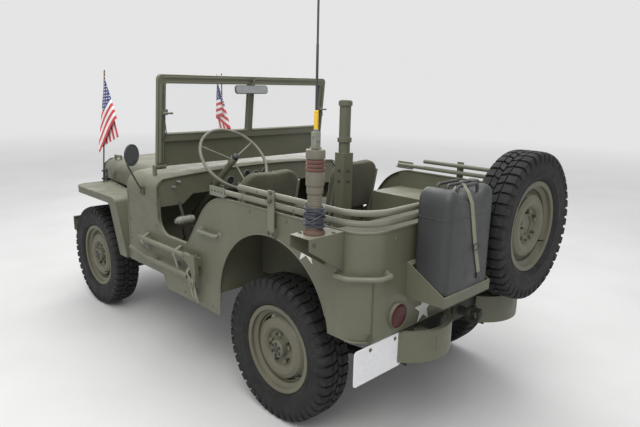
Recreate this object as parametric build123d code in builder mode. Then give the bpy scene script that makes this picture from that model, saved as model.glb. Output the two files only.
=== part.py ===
"""Quarter-ton open 4x4 field car, built as its separate pressings, castings and tubes.

Frame: +X forward, +Y to the car's left, +Z up. The origin lies on the ground, on the
centreline, midway between the axles. Millimetres.
"""

import math
import os

from build123d import *

os.makedirs("parts", exist_ok=True)

# Wheels and axles
wheelbase = 2032
track = 1245
tyre_radius = 362
tyre_width = 168
tread_half_width = 76
tread_depth = 13
lug_overlap = 7
tyre_facets = 34
bead_radius = 203
rim_half_width = 62
rim_flange_height = 18
rim_wall = 4
bead_seat_length = 16
drop_radius = 183
drop_half_width = 28
disc_thickness = 5
hub_face_offset = 24
hub_radius = 47
hub_length = 40
drum_radius = 127
drum_wall = 6
drum_depth = 58
spindle_radius = 22
running_gap = 0.3
moving_gap = 5
kingpin_y = 500
ball_radius = 62
knuckle_wall = 12
axle_tube_radius = 32
diff_radius = 138
diff_y = -150
pinion_reach = 215
steer_arm_length = 150
steer_arm_y = kingpin_y

# Ladder frame and running gear
rail_outer_y = 366
rail_width = 45
rail_height = 100
rail_wall = 4
rail_rear_overhang = 575
rail_front_overhang = 475
kick_up_start = 380
kick_up_end = 240
bumper_depth = 30
bumper_height = 114
bumper_half_length = 652
bumper_wall = 4
leaf_thickness = 6
leaf_count = 5
leaf_width = 44
front_spring_length = 880
rear_spring_length = 1060
spring_rise = 78
eye_radius = 18
eye_bore = 8

# Body tub
sheet = 3
tub_half_width = 750
tub_rear_overhang = 600
tub_top_z = 1070
tub_corner_radius = 120
rear_floor_z = 612
front_floor_z = 556
sill_z = 438
toe_sill_z = 515
arch_radius = 393
arch_centre_z = 560
arch_centre_back = 20
wheelhouse_y = 455
wheelhouse_top_z = 958
step_forward = 388
dash_forward = 1000
cowl_forward = 1365
cowl_side_z = 970
cowl_crown = 32
cowl_corner_radius = 95
door_bottom_z = 757
door_bottom_rear = 678
door_top_rear = 449
toe_forward = 1200
toe_z = 740
firewall_lip = 20

# Front pressings
fender_half_width = 755
fender_top_z = 875
fender_front = 2200
fender_rear_top = 1555
fender_rear_foot = 1410
fender_foot_z = 505
fender_lip = 45
fender_corner_radius = 90
fender_inner_front = 468
fender_inner_rear = 575
hood_front = 2350
hood_rear = 1372
hood_half_front = 455
hood_half_rear = 562
hood_front_top_z = 1035
hood_rear_top_z = 1095
hood_side_z = 885
hood_corner_radius = 80
hood_hinge_y = 200
hood_hinge_rise = 1106
hood_hinge_ahead = 8
hood_hinge_radius = 7
hood_pin_radius = 3
grille_forward = 2356
grille_half_width = 468
grille_bottom_z = 560
grille_top_z = 1025
grille_depth = 28
slot_count = 9
slot_width = 24
slot_pitch = 46
slot_bottom_z = 605
slot_top_z = 955
lamp_inset = 128
lamp_z = 862
lamp_radius = 82

# Windshield
windshield_hinge_forward = 1128
windshield_hinge_z = 1122
windshield_lug_y = 683
windshield_pin_radius = 6
barrel_radius = 14
windshield_height = 545
windshield_half_width = 672
windshield_rake = 6
windshield_depth = 26
windshield_bar = 42
windshield_lower_panel = 195
glass_thickness = 6

# Steering wheel
wheel_centre_forward = 788
wheel_centre_y = 348
wheel_centre_z = 1186
steering_radius = 215
steering_rim_radius = 9
column_tilt = 42.5
column_radius = 19
shaft_radius = 9

# Rear fittings
spare_back = 725
spare_y = -265
spare_z = 981
can_y = 298
can_back = 620
can_bottom_z = 766
can_width = 345
can_depth = 165
can_height = 470
bow_radius = 13
bow_low_z = 1103
bow_high_z = 1146
bow_y = 748
bow_corner_radius = 150
post_forward = 224
post_side = 72
post_square_top_z = 1255
post_top_z = 1545
post_round_radius = 32
socket_radius = 20
socket_depth = 120
shelf_front = -380
shelf_rear = -490
shelf_out = 940
mast_forward = -437
mast_y = 865
whip_top_z = 2620

# Engine, gearbox, transfer case and exhaust, as distances forward of the rear axle
engine_rear = 1420
engine_front = 1950
engine_low_z = 515
engine_top_z = 960
engine_half_width = 165
gearbox_rear = 900
gearbox_front = 1330
gearbox_half_width = 105
gearbox_low_z = 400
gearbox_top_z = 470
transfer_rear = 720
transfer_front = 920
transfer_y = (-205, 70)
transfer_low_z = 300
transfer_top_z = 460
silencer_rear = 420
silencer_front = 700
silencer_radius = 62
silencer_y = -440
silencer_z = 470
pipe_radius = 22
pipe_inner_y = -260
pipe_rise = 1450

# Seats
seat_y = 348
seat_rear = 505
seat_front = 880
seat_low_z = 760
seat_half_width = 205
seat_back_height = 330
seat_back_corner = 95
cushion_thickness = 70
back_thickness = 60
back_lean = 65
seat_tube_radius = 10
bench_rear = -330
bench_front = -60
bench_low_z = 864

# Hand tools on the left side: distances forward of the rear axle, and heights
axe_butt = 1160
axe_neck = 640
axe_z = 706
shovel_grip = 560
shovel_neck = 1075
shovel_tip = 1280
shovel_z = 596
tool_gap = 38
handle_radius = 15

# Places worked out from the sizes above
rear_x = -wheelbase / 2
front_x = wheelbase / 2
axle_z = tyre_radius
pinion_z = axle_z + 5
wheel_y = track / 2
tub_rear_x = rear_x - tub_rear_overhang
dash_x = rear_x + dash_forward
cowl_x = rear_x + cowl_forward
step_x = rear_x + step_forward
arch_x = rear_x - arch_centre_back
screen_x = rear_x + windshield_hinge_forward
hood_hinge_x = cowl_x + hood_hinge_ahead
rail_y = rail_outer_y - rail_width / 2
rail_inner_y = rail_outer_y - rail_width
kick = rear_floor_z - front_floor_z
lamp_y = grille_half_width - lamp_inset


def block(x, y, z, mode=Mode.ADD):
    """Box between two x, two y and two z values."""
    with Locations((sum(x) / 2, sum(y) / 2, sum(z) / 2)):
        Box(abs(x[1] - x[0]), abs(y[1] - y[0]), abs(z[1] - z[0]), mode=mode)


def rod(start, end, radius, mode=Mode.ADD):
    """Round bar from one point to another."""
    a = Vector(*start)
    b = Vector(*end)
    with BuildSketch(Plane(origin=a, z_dir=(b - a).normalized())) as section:
        Circle(radius)
    extrude(section.sketch, amount=(b - a).length, mode=mode)


def bent_tube(points, bends, radius):
    """Round bar along straight runs joined by arcs."""
    with BuildLine() as route:
        FilletPolyline(*points, radius=bends)
    with BuildSketch(Plane(origin=route.line @ 0, z_dir=route.line % 0)) as section:
        Circle(radius)
    sweep(sections=section.sketch, path=route.line)


def finish(piece, label):
    """Names a finished piece and writes its file."""
    piece.part.label = label
    export_step(piece.part, f"parts/{label}.step")


# Ladder frame: two channel rails kicked up at the rear, and their cross members
def rail_outline(inset):
    """Side view of a rail, drawn in by inset on all its edges."""
    low = front_floor_z - rail_height + inset
    high = front_floor_z - inset
    rear_end = rear_x - rail_rear_overhang + inset
    front_end = front_x + rail_front_overhang - inset
    kick_low = rear_x + kick_up_end
    kick_high = rear_x + kick_up_start
    with BuildLine() as outline:
        Polyline(
            (rear_end, low + kick),
            (kick_low, low + kick),
            (kick_high, low),
            (front_end, low),
            (front_end, high),
            (kick_high, high),
            (kick_low, high + kick),
            (rear_end, high + kick),
            close=True,
        )
    make_face(outline.edges())


cross_members = [
    # forward of the rear axle, length along X, low z, high z
    (-rail_rear_overhang + 25, 50, front_floor_z + kick - 92, front_floor_z + kick - 8),
    (kick_up_end - 60, 60, front_floor_z + kick - 80, front_floor_z + kick - 30),
    (1060, 70, front_floor_z - 86, front_floor_z - 30),
    (1700, 60, front_floor_z - 86, front_floor_z - 41),
    (wheelbase + rail_front_overhang - 100, 60, front_floor_z - 85, front_floor_z - 15),
]

spring_sets = [
    # axle x, spring length
    (rear_x, rear_spring_length),
    (front_x, front_spring_length),
]

spring_radius = {
    length: (length**2 / 4 + spring_rise**2) / (2 * spring_rise) for _, length in spring_sets
}
spring_low_z = axle_z - axle_tube_radius - 8 - leaf_count * leaf_thickness
eye_z = spring_low_z + leaf_count * leaf_thickness + spring_rise


def rail_bottom_z(x):
    """Underside of the rail above a point."""
    return front_floor_z - rail_height + (kick if x < rear_x + kick_up_end else 0)


with BuildPart() as frame:
    for side in (1, -1):
        with BuildSketch(Plane.XZ.offset(-side * rail_outer_y)) as rail_outside:
            rail_outline(0)
        extrude(amount=side * rail_width)
        with BuildSketch(Plane.XZ.offset(-side * (rail_outer_y - rail_wall))) as rail_inside:
            rail_outline(rail_wall)
        extrude(amount=side * rail_width, mode=Mode.SUBTRACT)
    for forward, length, low, high in cross_members:
        x = rear_x + forward
        block(
            (x - length / 2, x + length / 2),
            (-rail_outer_y + rail_wall, rail_outer_y - rail_wall),
            (low, high),
        )
    for axle_x, length in spring_sets:
        for end in (-1, 1):
            x = axle_x + end * length / 2
            for side in (1, -1):
                for cheek in (1, -1):
                    y = side * rail_y + cheek * (leaf_width / 2 + running_gap + 3)
                    block(
                        (x - 20, x + 20),
                        (y - 3, y + 3),
                        (eye_z - 22, rail_bottom_z(x)),
                    )
                rod(
                    (x, side * rail_y - leaf_width / 2 - 4, eye_z),
                    (x, side * rail_y + leaf_width / 2 + 4, eye_z),
                    eye_bore - running_gap,
                )
finish(frame, "frame")

# Front bumper: an open channel across the rail ends
with BuildPart() as front_bumper:
    bumper_rear_x = front_x + rail_front_overhang
    bumper_mid_z = front_floor_z - rail_height / 2
    with BuildSketch(Plane.XZ.offset(bumper_half_length)) as bumper_section:
        with Locations((bumper_rear_x + bumper_depth / 2, bumper_mid_z)):
            Rectangle(bumper_depth, bumper_height)
        fillet(bumper_section.vertices().group_by(Axis.X)[-1], 12)
        with Locations((bumper_rear_x + bumper_depth / 2 - bumper_wall, bumper_mid_z)):
            Rectangle(bumper_depth, bumper_height - 2 * bumper_wall, mode=Mode.SUBTRACT)
    extrude(amount=-2 * bumper_half_length)
    for side in (1, -1):
        block(
            (bumper_rear_x, bumper_rear_x + bumper_depth - bumper_wall / 2),
            (side * rail_inner_y, side * rail_outer_y),
            (bumper_mid_z - 40, bumper_mid_z + 40),
        )
finish(front_bumper, "front_bumper")

# Rear bumperettes: two upright plates bent to an arc in plan, on stub brackets
bumperette_y = 318
bumperette_half = 190
bumperette_bulge = 105
bumperette_z = (464, 604)
bumperette_wall = 5
bumperette_x = rear_x - rail_rear_overhang - 22
bumperette_arc = (bumperette_half**2 + bumperette_bulge**2) / (2 * bumperette_bulge)
with BuildPart() as rear_bumperettes:
    for side in (1, -1):
        arc_centre = (bumperette_x - bumperette_bulge + bumperette_arc, side * bumperette_y)
        with BuildSketch(Plane.XY.offset(bumperette_z[0])) as bent_plate:
            with Locations(arc_centre):
                Circle(bumperette_arc)
                Circle(bumperette_arc - bumperette_wall, mode=Mode.SUBTRACT)
            with Locations((bumperette_x + bumperette_arc, side * bumperette_y)):
                Rectangle(2 * bumperette_arc, 3 * bumperette_arc, mode=Mode.SUBTRACT)
        extrude(amount=bumperette_z[1] - bumperette_z[0])
        for flange_z in (bumperette_z[0], bumperette_z[1] - bumperette_wall):
            with BuildSketch(Plane.XY.offset(flange_z)) as flange:
                with Locations(arc_centre):
                    Circle(bumperette_arc - 1)
                    Circle(bumperette_arc - 24, mode=Mode.SUBTRACT)
                with Locations((bumperette_x + bumperette_arc, side * bumperette_y)):
                    Rectangle(2 * bumperette_arc, 3 * bumperette_arc, mode=Mode.SUBTRACT)
            extrude(amount=bumperette_wall)
        block(
            (bumperette_x - bumperette_bulge + bumperette_wall / 2, rear_x - rail_rear_overhang),
            (side * rail_y - 20, side * rail_y + 20),
            (bumperette_z[0] + 45, bumperette_z[0] + 110),
        )
finish(rear_bumperettes, "rear_bumperettes")


# Leaf springs: concentric leaves, each shorter than the one above
with BuildPart() as leaf_springs:
    for axle_x, length in spring_sets:
        big = spring_radius[length]
        centre_z = spring_low_z + leaf_count * leaf_thickness + big
        for side in (1, -1):
            with BuildSketch(Plane.XZ.offset(-(side * rail_y + leaf_width / 2))) as leaves:
                for leaf in range(leaf_count):
                    reach = math.asin(length / 2 * (1 - 0.16 * leaf) / big)
                    inner = big + leaf * leaf_thickness
                    outer = inner + leaf_thickness
                    ends = [
                        (axle_x + r * math.sin(a), centre_z - r * math.cos(a))
                        for r, a in ((inner, -reach), (inner, reach), (outer, reach), (outer, -reach))
                    ]
                    with BuildLine():
                        ThreePointArc(ends[0], (axle_x, centre_z - inner), ends[1])
                        Line(ends[1], ends[2])
                        ThreePointArc(ends[2], (axle_x, centre_z - outer), ends[3])
                        Line(ends[3], ends[0])
                    make_face()
                for end in (-1, 1):
                    with Locations((axle_x + end * length / 2, eye_z)):
                        Circle(eye_radius)
                        Circle(eye_bore, mode=Mode.SUBTRACT)
            extrude(amount=leaf_width)
finish(leaf_springs, "leaf_springs")

# Wheel and tyre profiles, as radius and distance outboard of the wheel's mid-plane
flange_radius = bead_radius + rim_flange_height
disc_root_y = 14

# Radius, distance outboard: once round the rim
rim_profile = [
    (flange_radius, rim_half_width),
    (flange_radius, rim_half_width - rim_wall),
    (bead_radius, rim_half_width - rim_wall - 2),
    (bead_radius, rim_half_width - rim_wall - 2 - bead_seat_length),
    (drop_radius, drop_half_width),
    (drop_radius, -drop_half_width),
    (bead_radius, -(rim_half_width - rim_wall - 2 - bead_seat_length)),
    (bead_radius, -(rim_half_width - rim_wall - 2)),
    (flange_radius, -(rim_half_width - rim_wall)),
    (flange_radius, -rim_half_width),
    (bead_radius - rim_wall, -rim_half_width + 2),
    (bead_radius - rim_wall, -drop_half_width - 15),
    (drop_radius - rim_wall, -drop_half_width - 3),
    (drop_radius - rim_wall, drop_half_width + 3),
    (bead_radius - rim_wall, drop_half_width + 15),
    (bead_radius - rim_wall, rim_half_width - 2),
]

# Radius, distance outboard: the outer face of the pressed disc, rim to hub
disc_face = [
    (drop_radius - rim_wall, disc_root_y + disc_thickness),
    (166, 24),
    (150, 42),
    (128, 52),
    (106, 50),
    (93, 40),
    (86, hub_face_offset + disc_thickness),
    (hub_radius, hub_face_offset + disc_thickness),
]
disc_profile = disc_face + [(r, y - disc_thickness) for r, y in reversed(disc_face)]

flat = 180 / tyre_facets
sidewall = [
    # radius, distance outboard: one sidewall's outer face, from the bead outward
    (bead_radius, rim_half_width - rim_wall - 2),
    (flange_radius + 2, rim_half_width - rim_wall - 1),
    (290, tyre_width / 2),
]
bead_inner_y = rim_half_width - rim_wall - 2 - bead_seat_length
cavity_radius = tyre_radius - tread_depth - 14
cavity_y = tread_half_width - 18


def tread_section(high_side):
    """Tyre section with its tread raised on one side of the middle and cut down on the other."""
    low_radius = tyre_radius - tread_depth
    left, right = (tyre_radius, low_radius) if high_side > 0 else (low_radius, tyre_radius)
    step_y = -high_side * lug_overlap
    outer = sidewall + [
        (left, tread_half_width),
        (left, step_y),
        (right, step_y),
        (right, -tread_half_width),
    ]
    outer += [(r, -y) for r, y in reversed(sidewall)]
    inner = [
        (bead_radius, -bead_inner_y),
        (cavity_radius, -cavity_y),
        (cavity_radius, cavity_y),
        (bead_radius, bead_inner_y),
    ]
    return outer + inner


def tread_wedge(step):
    """One flat of the tyre, mitred at both ends, with its lug left or right of the middle."""
    ends = []
    for edge in (step - 0.5, step + 0.5):
        turn = math.radians(360 / tyre_facets * edge)
        radial = Vector(math.cos(turn), math.sin(turn), 0)
        plane = Plane(origin=(0, 0, 0), x_dir=radial, z_dir=radial.cross(Vector(0, 0, 1)))
        with BuildSketch(plane) as mitre:
            with BuildLine():
                Polyline(
                    *[(r / math.cos(math.radians(flat)), y) for r, y in tread_section((-1) ** step)],
                    close=True,
                )
            make_face()
        ends.append(mitre.sketch)
    loft(ends, ruled=True)


# Tyre about its own axis, outboard along Z: a ring of flats whose lugs take turns left and right
with BuildPart() as tyre_ring:
    for step in range(tyre_facets):
        tread_wedge(step)


def spun(points, centre, outboard):
    """Revolves a profile about a wheel axis; outboard is the axis direction as a Y sign or X sign."""
    plane = Plane(origin=centre, x_dir=(0, 0, 1), z_dir=Vector(*outboard).cross(Vector(0, 0, 1)) * -1)
    with BuildSketch(plane) as section:
        with BuildLine():
            Polyline(*points, close=True)
        make_face()
    revolve(section.sketch, axis=Axis(centre, outboard))


disc_slot_radius = 158
disc_slot_width = 15
disc_slot_length = 92
disc_slot_turn = 35


def wheel_solid(centre, outboard, with_hub):
    """Rim, disc and, on a road wheel, its drum and hub."""
    plane = Plane(origin=centre, x_dir=(0, 0, 1), z_dir=outboard)
    spun(rim_profile, centre, outboard)
    spun(disc_profile, centre, outboard)
    if with_hub:
        drum_face = hub_face_offset
        spun(
            [
                (spindle_radius + running_gap, drum_face),
                (drum_radius, drum_face),
                (drum_radius, drum_face - drum_depth),
                (drum_radius - drum_wall, drum_face - drum_depth),
                (drum_radius - drum_wall, drum_face - drum_wall),
                (hub_radius, drum_face - drum_wall),
                (hub_radius - 8, drum_face - drum_depth + 20),
                (spindle_radius + running_gap, drum_face - drum_depth + 20),
            ],
            centre,
            outboard,
        )
        spun(
            [
                (0, drum_face + hub_length),
                (hub_radius - 10, drum_face + hub_length),
                (hub_radius - 2, drum_face + hub_length - 8),
                (hub_radius, drum_face),
                (0, drum_face),
            ],
            centre,
            outboard,
        )
    with BuildSketch(plane.offset(-30)) as disc_slots:
        Circle(disc_slot_radius + disc_slot_width / 2)
        Circle(disc_slot_radius - disc_slot_width / 2, mode=Mode.SUBTRACT)
        Rectangle(
            3 * disc_slot_radius,
            disc_slot_length,
            rotation=disc_slot_turn,
            mode=Mode.INTERSECT,
        )
    extrude(disc_slots.sketch, amount=100, mode=Mode.SUBTRACT)
    bolt_circle = 70
    bolt_plane = plane.offset(hub_face_offset + disc_thickness)
    with BuildSketch(bolt_plane) as nuts:
        with PolarLocations(bolt_circle, 5):
            RegularPolygon(11, 6)
    extrude(nuts.sketch, amount=13)


wheel_places = {
    # corner name: axle x, side
    "fl": (front_x, 1),
    "fr": (front_x, -1),
    "rl": (rear_x, 1),
    "rr": (rear_x, -1),
}

for corner, (x, side) in wheel_places.items():
    centre = (x, side * wheel_y, axle_z)
    with BuildPart() as wheel:
        wheel_solid(centre, (0, side, 0), True)
    finish(wheel, f"wheel_{corner}")
    with BuildPart() as tyre:
        add(tyre_ring.part.moved(Location(Plane(origin=centre, x_dir=(0, 0, 1), z_dir=(0, side, 0)))))
    finish(tyre, f"tyre_{corner}")

# Rear axle: banjo housing, tubes, backing plates and spindles
backing_y = wheel_y + hub_face_offset - drum_depth - moving_gap
spindle_end_y = wheel_y + hub_face_offset - 1
with BuildPart() as rear_axle:
    rod((rear_x, -backing_y, axle_z), (rear_x, backing_y, axle_z), axle_tube_radius)
    for side in (1, -1):
        rod((rear_x, side * (backing_y - 4), axle_z), (rear_x, side * backing_y, axle_z), drum_radius - 8)
        rod((rear_x, side * backing_y, axle_z), (rear_x, side * spindle_end_y, axle_z), spindle_radius)
    with Locations((rear_x, diff_y, axle_z)):
        Sphere(diff_radius - 12)
    with Locations(Location((rear_x, diff_y, axle_z), (0, 90, 0))):
        Cylinder(diff_radius, 34)
    rod((rear_x, diff_y, pinion_z), (rear_x + pinion_reach, diff_y, pinion_z), 48)
    for side in (1, -1):
        block(
            (rear_x - 24, rear_x + 24),
            (side * rail_y - leaf_width / 2, side * rail_y + leaf_width / 2),
            (axle_z - axle_tube_radius - 8 + running_gap, axle_z - 10),
        )
finish(rear_axle, "rear_axle")

# Front axle: the same housing with open ball ends that carry the knuckles
with BuildPart() as front_axle:
    rod((front_x, -kingpin_y, axle_z), (front_x, kingpin_y, axle_z), axle_tube_radius)
    for side in (1, -1):
        with Locations((front_x, side * kingpin_y, axle_z)):
            Sphere(ball_radius)
    with Locations((front_x, diff_y, axle_z)):
        Sphere(diff_radius - 12)
    with Locations(Location((front_x, diff_y, axle_z), (0, 90, 0))):
        Cylinder(diff_radius, 34)
    rod((front_x, diff_y, pinion_z), (front_x - pinion_reach, diff_y, pinion_z), 48)
    for side in (1, -1):
        block(
            (front_x - 24, front_x + 24),
            (side * rail_y - leaf_width / 2, side * rail_y + leaf_width / 2),
            (axle_z - axle_tube_radius - 8 + running_gap, axle_z - 10),
        )
finish(front_axle, "front_axle")

# Steering knuckles: a cup over the ball, a kingpin cap above and below, spindle and arm
for name, side in (("knuckle_left", 1), ("knuckle_right", -1)):
    pivot = (front_x, side * kingpin_y, axle_z)
    cup_radius = ball_radius + running_gap + knuckle_wall
    cup_open_y = side * (kingpin_y - 18)
    with BuildPart() as knuckle:
        with Locations(pivot):
            Sphere(cup_radius)
        for end in (1, -1):
            rod(pivot, (front_x, side * kingpin_y, axle_z + end * (cup_radius + 14)), 24)
        rod(pivot, (front_x, side * backing_y, axle_z), 58)
        rod((front_x, side * (backing_y - 4), axle_z), (front_x, side * backing_y, axle_z), drum_radius - 8)
        block(
            (front_x - steer_arm_length - 16, front_x - 30),
            (side * (steer_arm_y - 14), side * (steer_arm_y + 14)),
            (axle_z - 66, axle_z - 48),
        )
        with Locations(pivot):
            Sphere(ball_radius + running_gap, mode=Mode.SUBTRACT)
        block(
            (front_x - 120, front_x + 120),
            (cup_open_y - side * 150, cup_open_y),
            (axle_z - 47.9, axle_z + 140),
            mode=Mode.SUBTRACT,
        )
        block(
            (front_x - 29, front_x + 120),
            (cup_open_y - side * 150, cup_open_y),
            (axle_z - 140, axle_z + 140),
            mode=Mode.SUBTRACT,
        )
        spindle_root_y = side * (backing_y - 1)
        rod((front_x, spindle_root_y, axle_z), (front_x, side * spindle_end_y, axle_z), spindle_radius)
        with Locations((front_x - steer_arm_length, side * steer_arm_y, axle_z - 57)):
            Cylinder(8, 40, mode=Mode.SUBTRACT)
    finish(knuckle, name)

# Tie rod between the two steering arms
rod_z = axle_z - 86
with BuildPart() as tie_rod:
    rod(
        (front_x - steer_arm_length, -steer_arm_y, rod_z),
        (front_x - steer_arm_length, steer_arm_y, rod_z),
        13,
    )
    for side in (1, -1):
        with Locations((front_x - steer_arm_length, side * steer_arm_y, rod_z)):
            Sphere(19)
        rod(
            (front_x - steer_arm_length, side * steer_arm_y, rod_z),
            (front_x - steer_arm_length, side * steer_arm_y, axle_z - 46),
            8 - running_gap,
        )
finish(tie_rod, "tie_rod")

# Engine, gearbox, transfer case and the two propeller shafts
with BuildPart() as power_unit:
    block(
        (rear_x + gearbox_rear, rear_x + gearbox_front),
        (-gearbox_half_width, gearbox_half_width),
        (gearbox_low_z, gearbox_top_z),
    )
    block(
        (rear_x + transfer_rear, rear_x + transfer_front),
        transfer_y,
        (transfer_low_z, transfer_top_z),
    )
    shafts = [
        # end at the boxes, axle x, way from axle to boxes
        (rear_x + transfer_rear + 10, rear_x, 1),
        (rear_x + transfer_front - 10, front_x, -1),
    ]
    for box_x, axle_x, way in shafts:
        flange_x = axle_x + way * pinion_reach
        rod((flange_x, diff_y, pinion_z), (flange_x + way * 50, diff_y, pinion_z), 34)
        rod((flange_x + way * 30, diff_y, pinion_z), (box_x, diff_y, pinion_z + 12), 25)

    # Engine, as one block
    block(
        (rear_x + engine_rear, rear_x + engine_front),
        (-engine_half_width, engine_half_width),
        (engine_low_z, engine_top_z),
    )
finish(power_unit, "power_unit")

# Exhaust: silencer and pipe on the right, inside the rail
with BuildPart() as exhaust:
    silencer_x = (rear_x + silencer_rear, rear_x + silencer_front)
    pipe_low_z = front_floor_z - rail_height - pipe_radius - 12
    rod(
        (silencer_x[0], silencer_y, silencer_z),
        (silencer_x[1], silencer_y, silencer_z),
        silencer_radius,
    )
    bent_tube(
        [
            (silencer_x[1] - 2, silencer_y, silencer_z),
            (silencer_x[1] + 80, silencer_y, silencer_z),
            (silencer_x[1] + 160, silencer_y, pipe_low_z),
            (rear_x + pipe_rise - 300, silencer_y, pipe_low_z),
            (rear_x + pipe_rise - 160, pipe_inner_y, pipe_low_z),
            (rear_x + pipe_rise - 60, pipe_inner_y, pipe_low_z),
            (rear_x + pipe_rise, pipe_inner_y, 600),
            (rear_x + pipe_rise, -engine_half_width, 600),
        ],
        45,
        pipe_radius,
    )
    for x in (silencer_x[0] + 50, silencer_x[1] - 50):
        block(
            (x - 15, x + 15),
            (silencer_y - 10, silencer_y + 10),
            (silencer_z + 50, front_floor_z),
        )
finish(exhaust, "exhaust")


# Body tub: side, rear and front walls cut from one bent shell, floors and wheelhouses
def plan_outline(inset):
    """The tub seen from above, drawn in by inset."""
    with BuildLine() as outline:
        Polyline(
            (tub_rear_x + inset, -tub_half_width + inset),
            (cowl_x - inset, -tub_half_width + inset),
            (cowl_x - inset, tub_half_width - inset),
            (tub_rear_x + inset, tub_half_width - inset),
            close=True,
        )
    make_face(outline.edges())


def rounded_plan(inset, sketch):
    """Plan outline with the two rear corners rounded."""
    plan_outline(inset)
    fillet(sketch.vertices().group_by(Axis.X)[0], tub_corner_radius - inset)


arch_foot_back = math.sqrt(arch_radius**2 - (rear_floor_z - arch_centre_z) ** 2)
door_corners = [
    # corner of the door cut and its radius
    ((rear_x + door_top_rear, tub_top_z), 290),
    ((rear_x + door_bottom_rear, door_bottom_z), 60),
    ((dash_x, door_bottom_z), 130),
]
sill_step = rear_x + 900
toe_step = rear_x + 950

with BuildPart() as tub:
    with BuildSketch(Plane.XY.offset(sill_z)) as wall_plan:
        rounded_plan(0, wall_plan)
    extrude(amount=tub_top_z - sill_z)
    with BuildSketch(Plane.XY.offset(sill_z)) as hollow_plan:
        rounded_plan(sheet, hollow_plan)
    extrude(amount=tub_top_z - sill_z, mode=Mode.SUBTRACT)
    with BuildSketch(Plane.XZ) as side_view:
        with BuildLine():
            Polyline(
                (arch_x + arch_radius, arch_centre_z),
                (arch_x + arch_radius, sill_z),
                (sill_step, sill_z),
                (toe_step, toe_sill_z),
                (cowl_x, toe_sill_z),
                (cowl_x, cowl_side_z),
                (dash_x, cowl_side_z),
                (dash_x, door_bottom_z),
                (rear_x + door_bottom_rear, door_bottom_z),
                (rear_x + door_top_rear, tub_top_z),
                (tub_rear_x, tub_top_z),
                (tub_rear_x, rear_floor_z),
                (arch_x - arch_foot_back, rear_floor_z),
            )
            ThreePointArc(
                (arch_x - arch_foot_back, rear_floor_z),
                (arch_x, arch_centre_z + arch_radius),
                (arch_x + arch_radius, arch_centre_z),
            )
        make_face()
        for corner, radius in door_corners:
            fillet(side_view.vertices().sort_by_distance(corner)[0], radius)
    extrude(amount=2 * tub_half_width, both=True, mode=Mode.INTERSECT)

    # Rear floor, lowered front floor and the riser between them
    wheel_hole = (arch_x - arch_radius - 6, step_x)
    with BuildSketch(Plane.XY.offset(rear_floor_z)) as rear_floor:
        rounded_plan(sheet / 2, rear_floor)
        with Locations(((step_x + cowl_x) / 2, 0)):
            Rectangle(cowl_x - step_x, 4 * tub_half_width, mode=Mode.SUBTRACT)
        for side in (1, -1):
            with Locations((sum(wheel_hole) / 2, side * (wheelhouse_y + tub_half_width))):
                Rectangle(wheel_hole[1] - wheel_hole[0], 2 * tub_half_width, mode=Mode.SUBTRACT)
    extrude(amount=sheet)
    block((step_x - sheet, step_x), (-wheelhouse_y, wheelhouse_y), (front_floor_z, rear_floor_z + sheet))
    block(
        (step_x - sheet, rear_x + toe_forward),
        (-tub_half_width + 1, tub_half_width - 1),
        (front_floor_z, front_floor_z + sheet),
    )

    # Toe board and firewall
    with BuildSketch(Plane.XZ) as toe_board:
        with BuildLine():
            Polyline(
                (rear_x + toe_forward, front_floor_z),
                (cowl_x - 1, toe_z),
                (cowl_x - 1, toe_z + 2 * sheet),
                (rear_x + toe_forward, front_floor_z + sheet),
                close=True,
            )
        make_face()
    extrude(amount=tub_half_width - 1, both=True)

    # Wheelhouses and rear lockers: closed boxes along both sides
    for side in (1, -1):
        inner = side * wheelhouse_y
        wall = (inner, inner + side * sheet)
        block((tub_rear_x + 1, step_x), wall, (rear_floor_z, wheelhouse_top_z))
        reach = (inner, side * (tub_half_width - 1))
        block((step_x - sheet, step_x), reach, (front_floor_z, wheelhouse_top_z))
        block((wheel_hole[0] - sheet, wheel_hole[0]), reach, (rear_floor_z, wheelhouse_top_z))
    with BuildSketch(Plane.XY.offset(wheelhouse_top_z - sheet)) as locker_tops:
        rounded_plan(sheet / 2, locker_tops)
        with Locations(((step_x + cowl_x) / 2, 0)):
            Rectangle(cowl_x - step_x, 4 * tub_half_width, mode=Mode.SUBTRACT)
        Rectangle(4 * wheelbase, 2 * wheelhouse_y, mode=Mode.SUBTRACT)
    extrude(amount=sheet)

    # Cowl: crowned top over the dash, closed in front by the firewall
    for inset, mode in ((0, Mode.ADD), (sheet, Mode.SUBTRACT)):
        with BuildSketch(Plane.YZ.offset(dash_x)) as cowl_section:
            with BuildLine():
                Polyline(
                    (-tub_half_width + inset, tub_top_z - inset),
                    (-tub_half_width + inset, cowl_side_z - inset),
                    (tub_half_width - inset, cowl_side_z - inset),
                    (tub_half_width - inset, tub_top_z - inset),
                )
                ThreePointArc(
                    (tub_half_width - inset, tub_top_z - inset),
                    (0, tub_top_z + cowl_crown - inset),
                    (-tub_half_width + inset, tub_top_z - inset),
                )
            make_face()
            fillet(cowl_section.vertices().group_by(Axis.Y)[-1], cowl_corner_radius - inset)
        extrude(amount=cowl_x - dash_x - inset, mode=mode)
    column_dir = Vector(math.cos(math.radians(column_tilt)), 0, -math.sin(math.radians(column_tilt)))
    steering_centre = Vector(rear_x + wheel_centre_forward, wheel_centre_y, wheel_centre_z)
    rod(
        steering_centre + column_dir * 300,
        steering_centre + column_dir * 1000,
        column_radius + 6,
        mode=Mode.SUBTRACT,
    )
    block(
        (cowl_x - sheet, cowl_x),
        (-tub_half_width + firewall_lip, tub_half_width - firewall_lip),
        (sill_z, toe_z),
        mode=Mode.SUBTRACT,
    )

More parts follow.
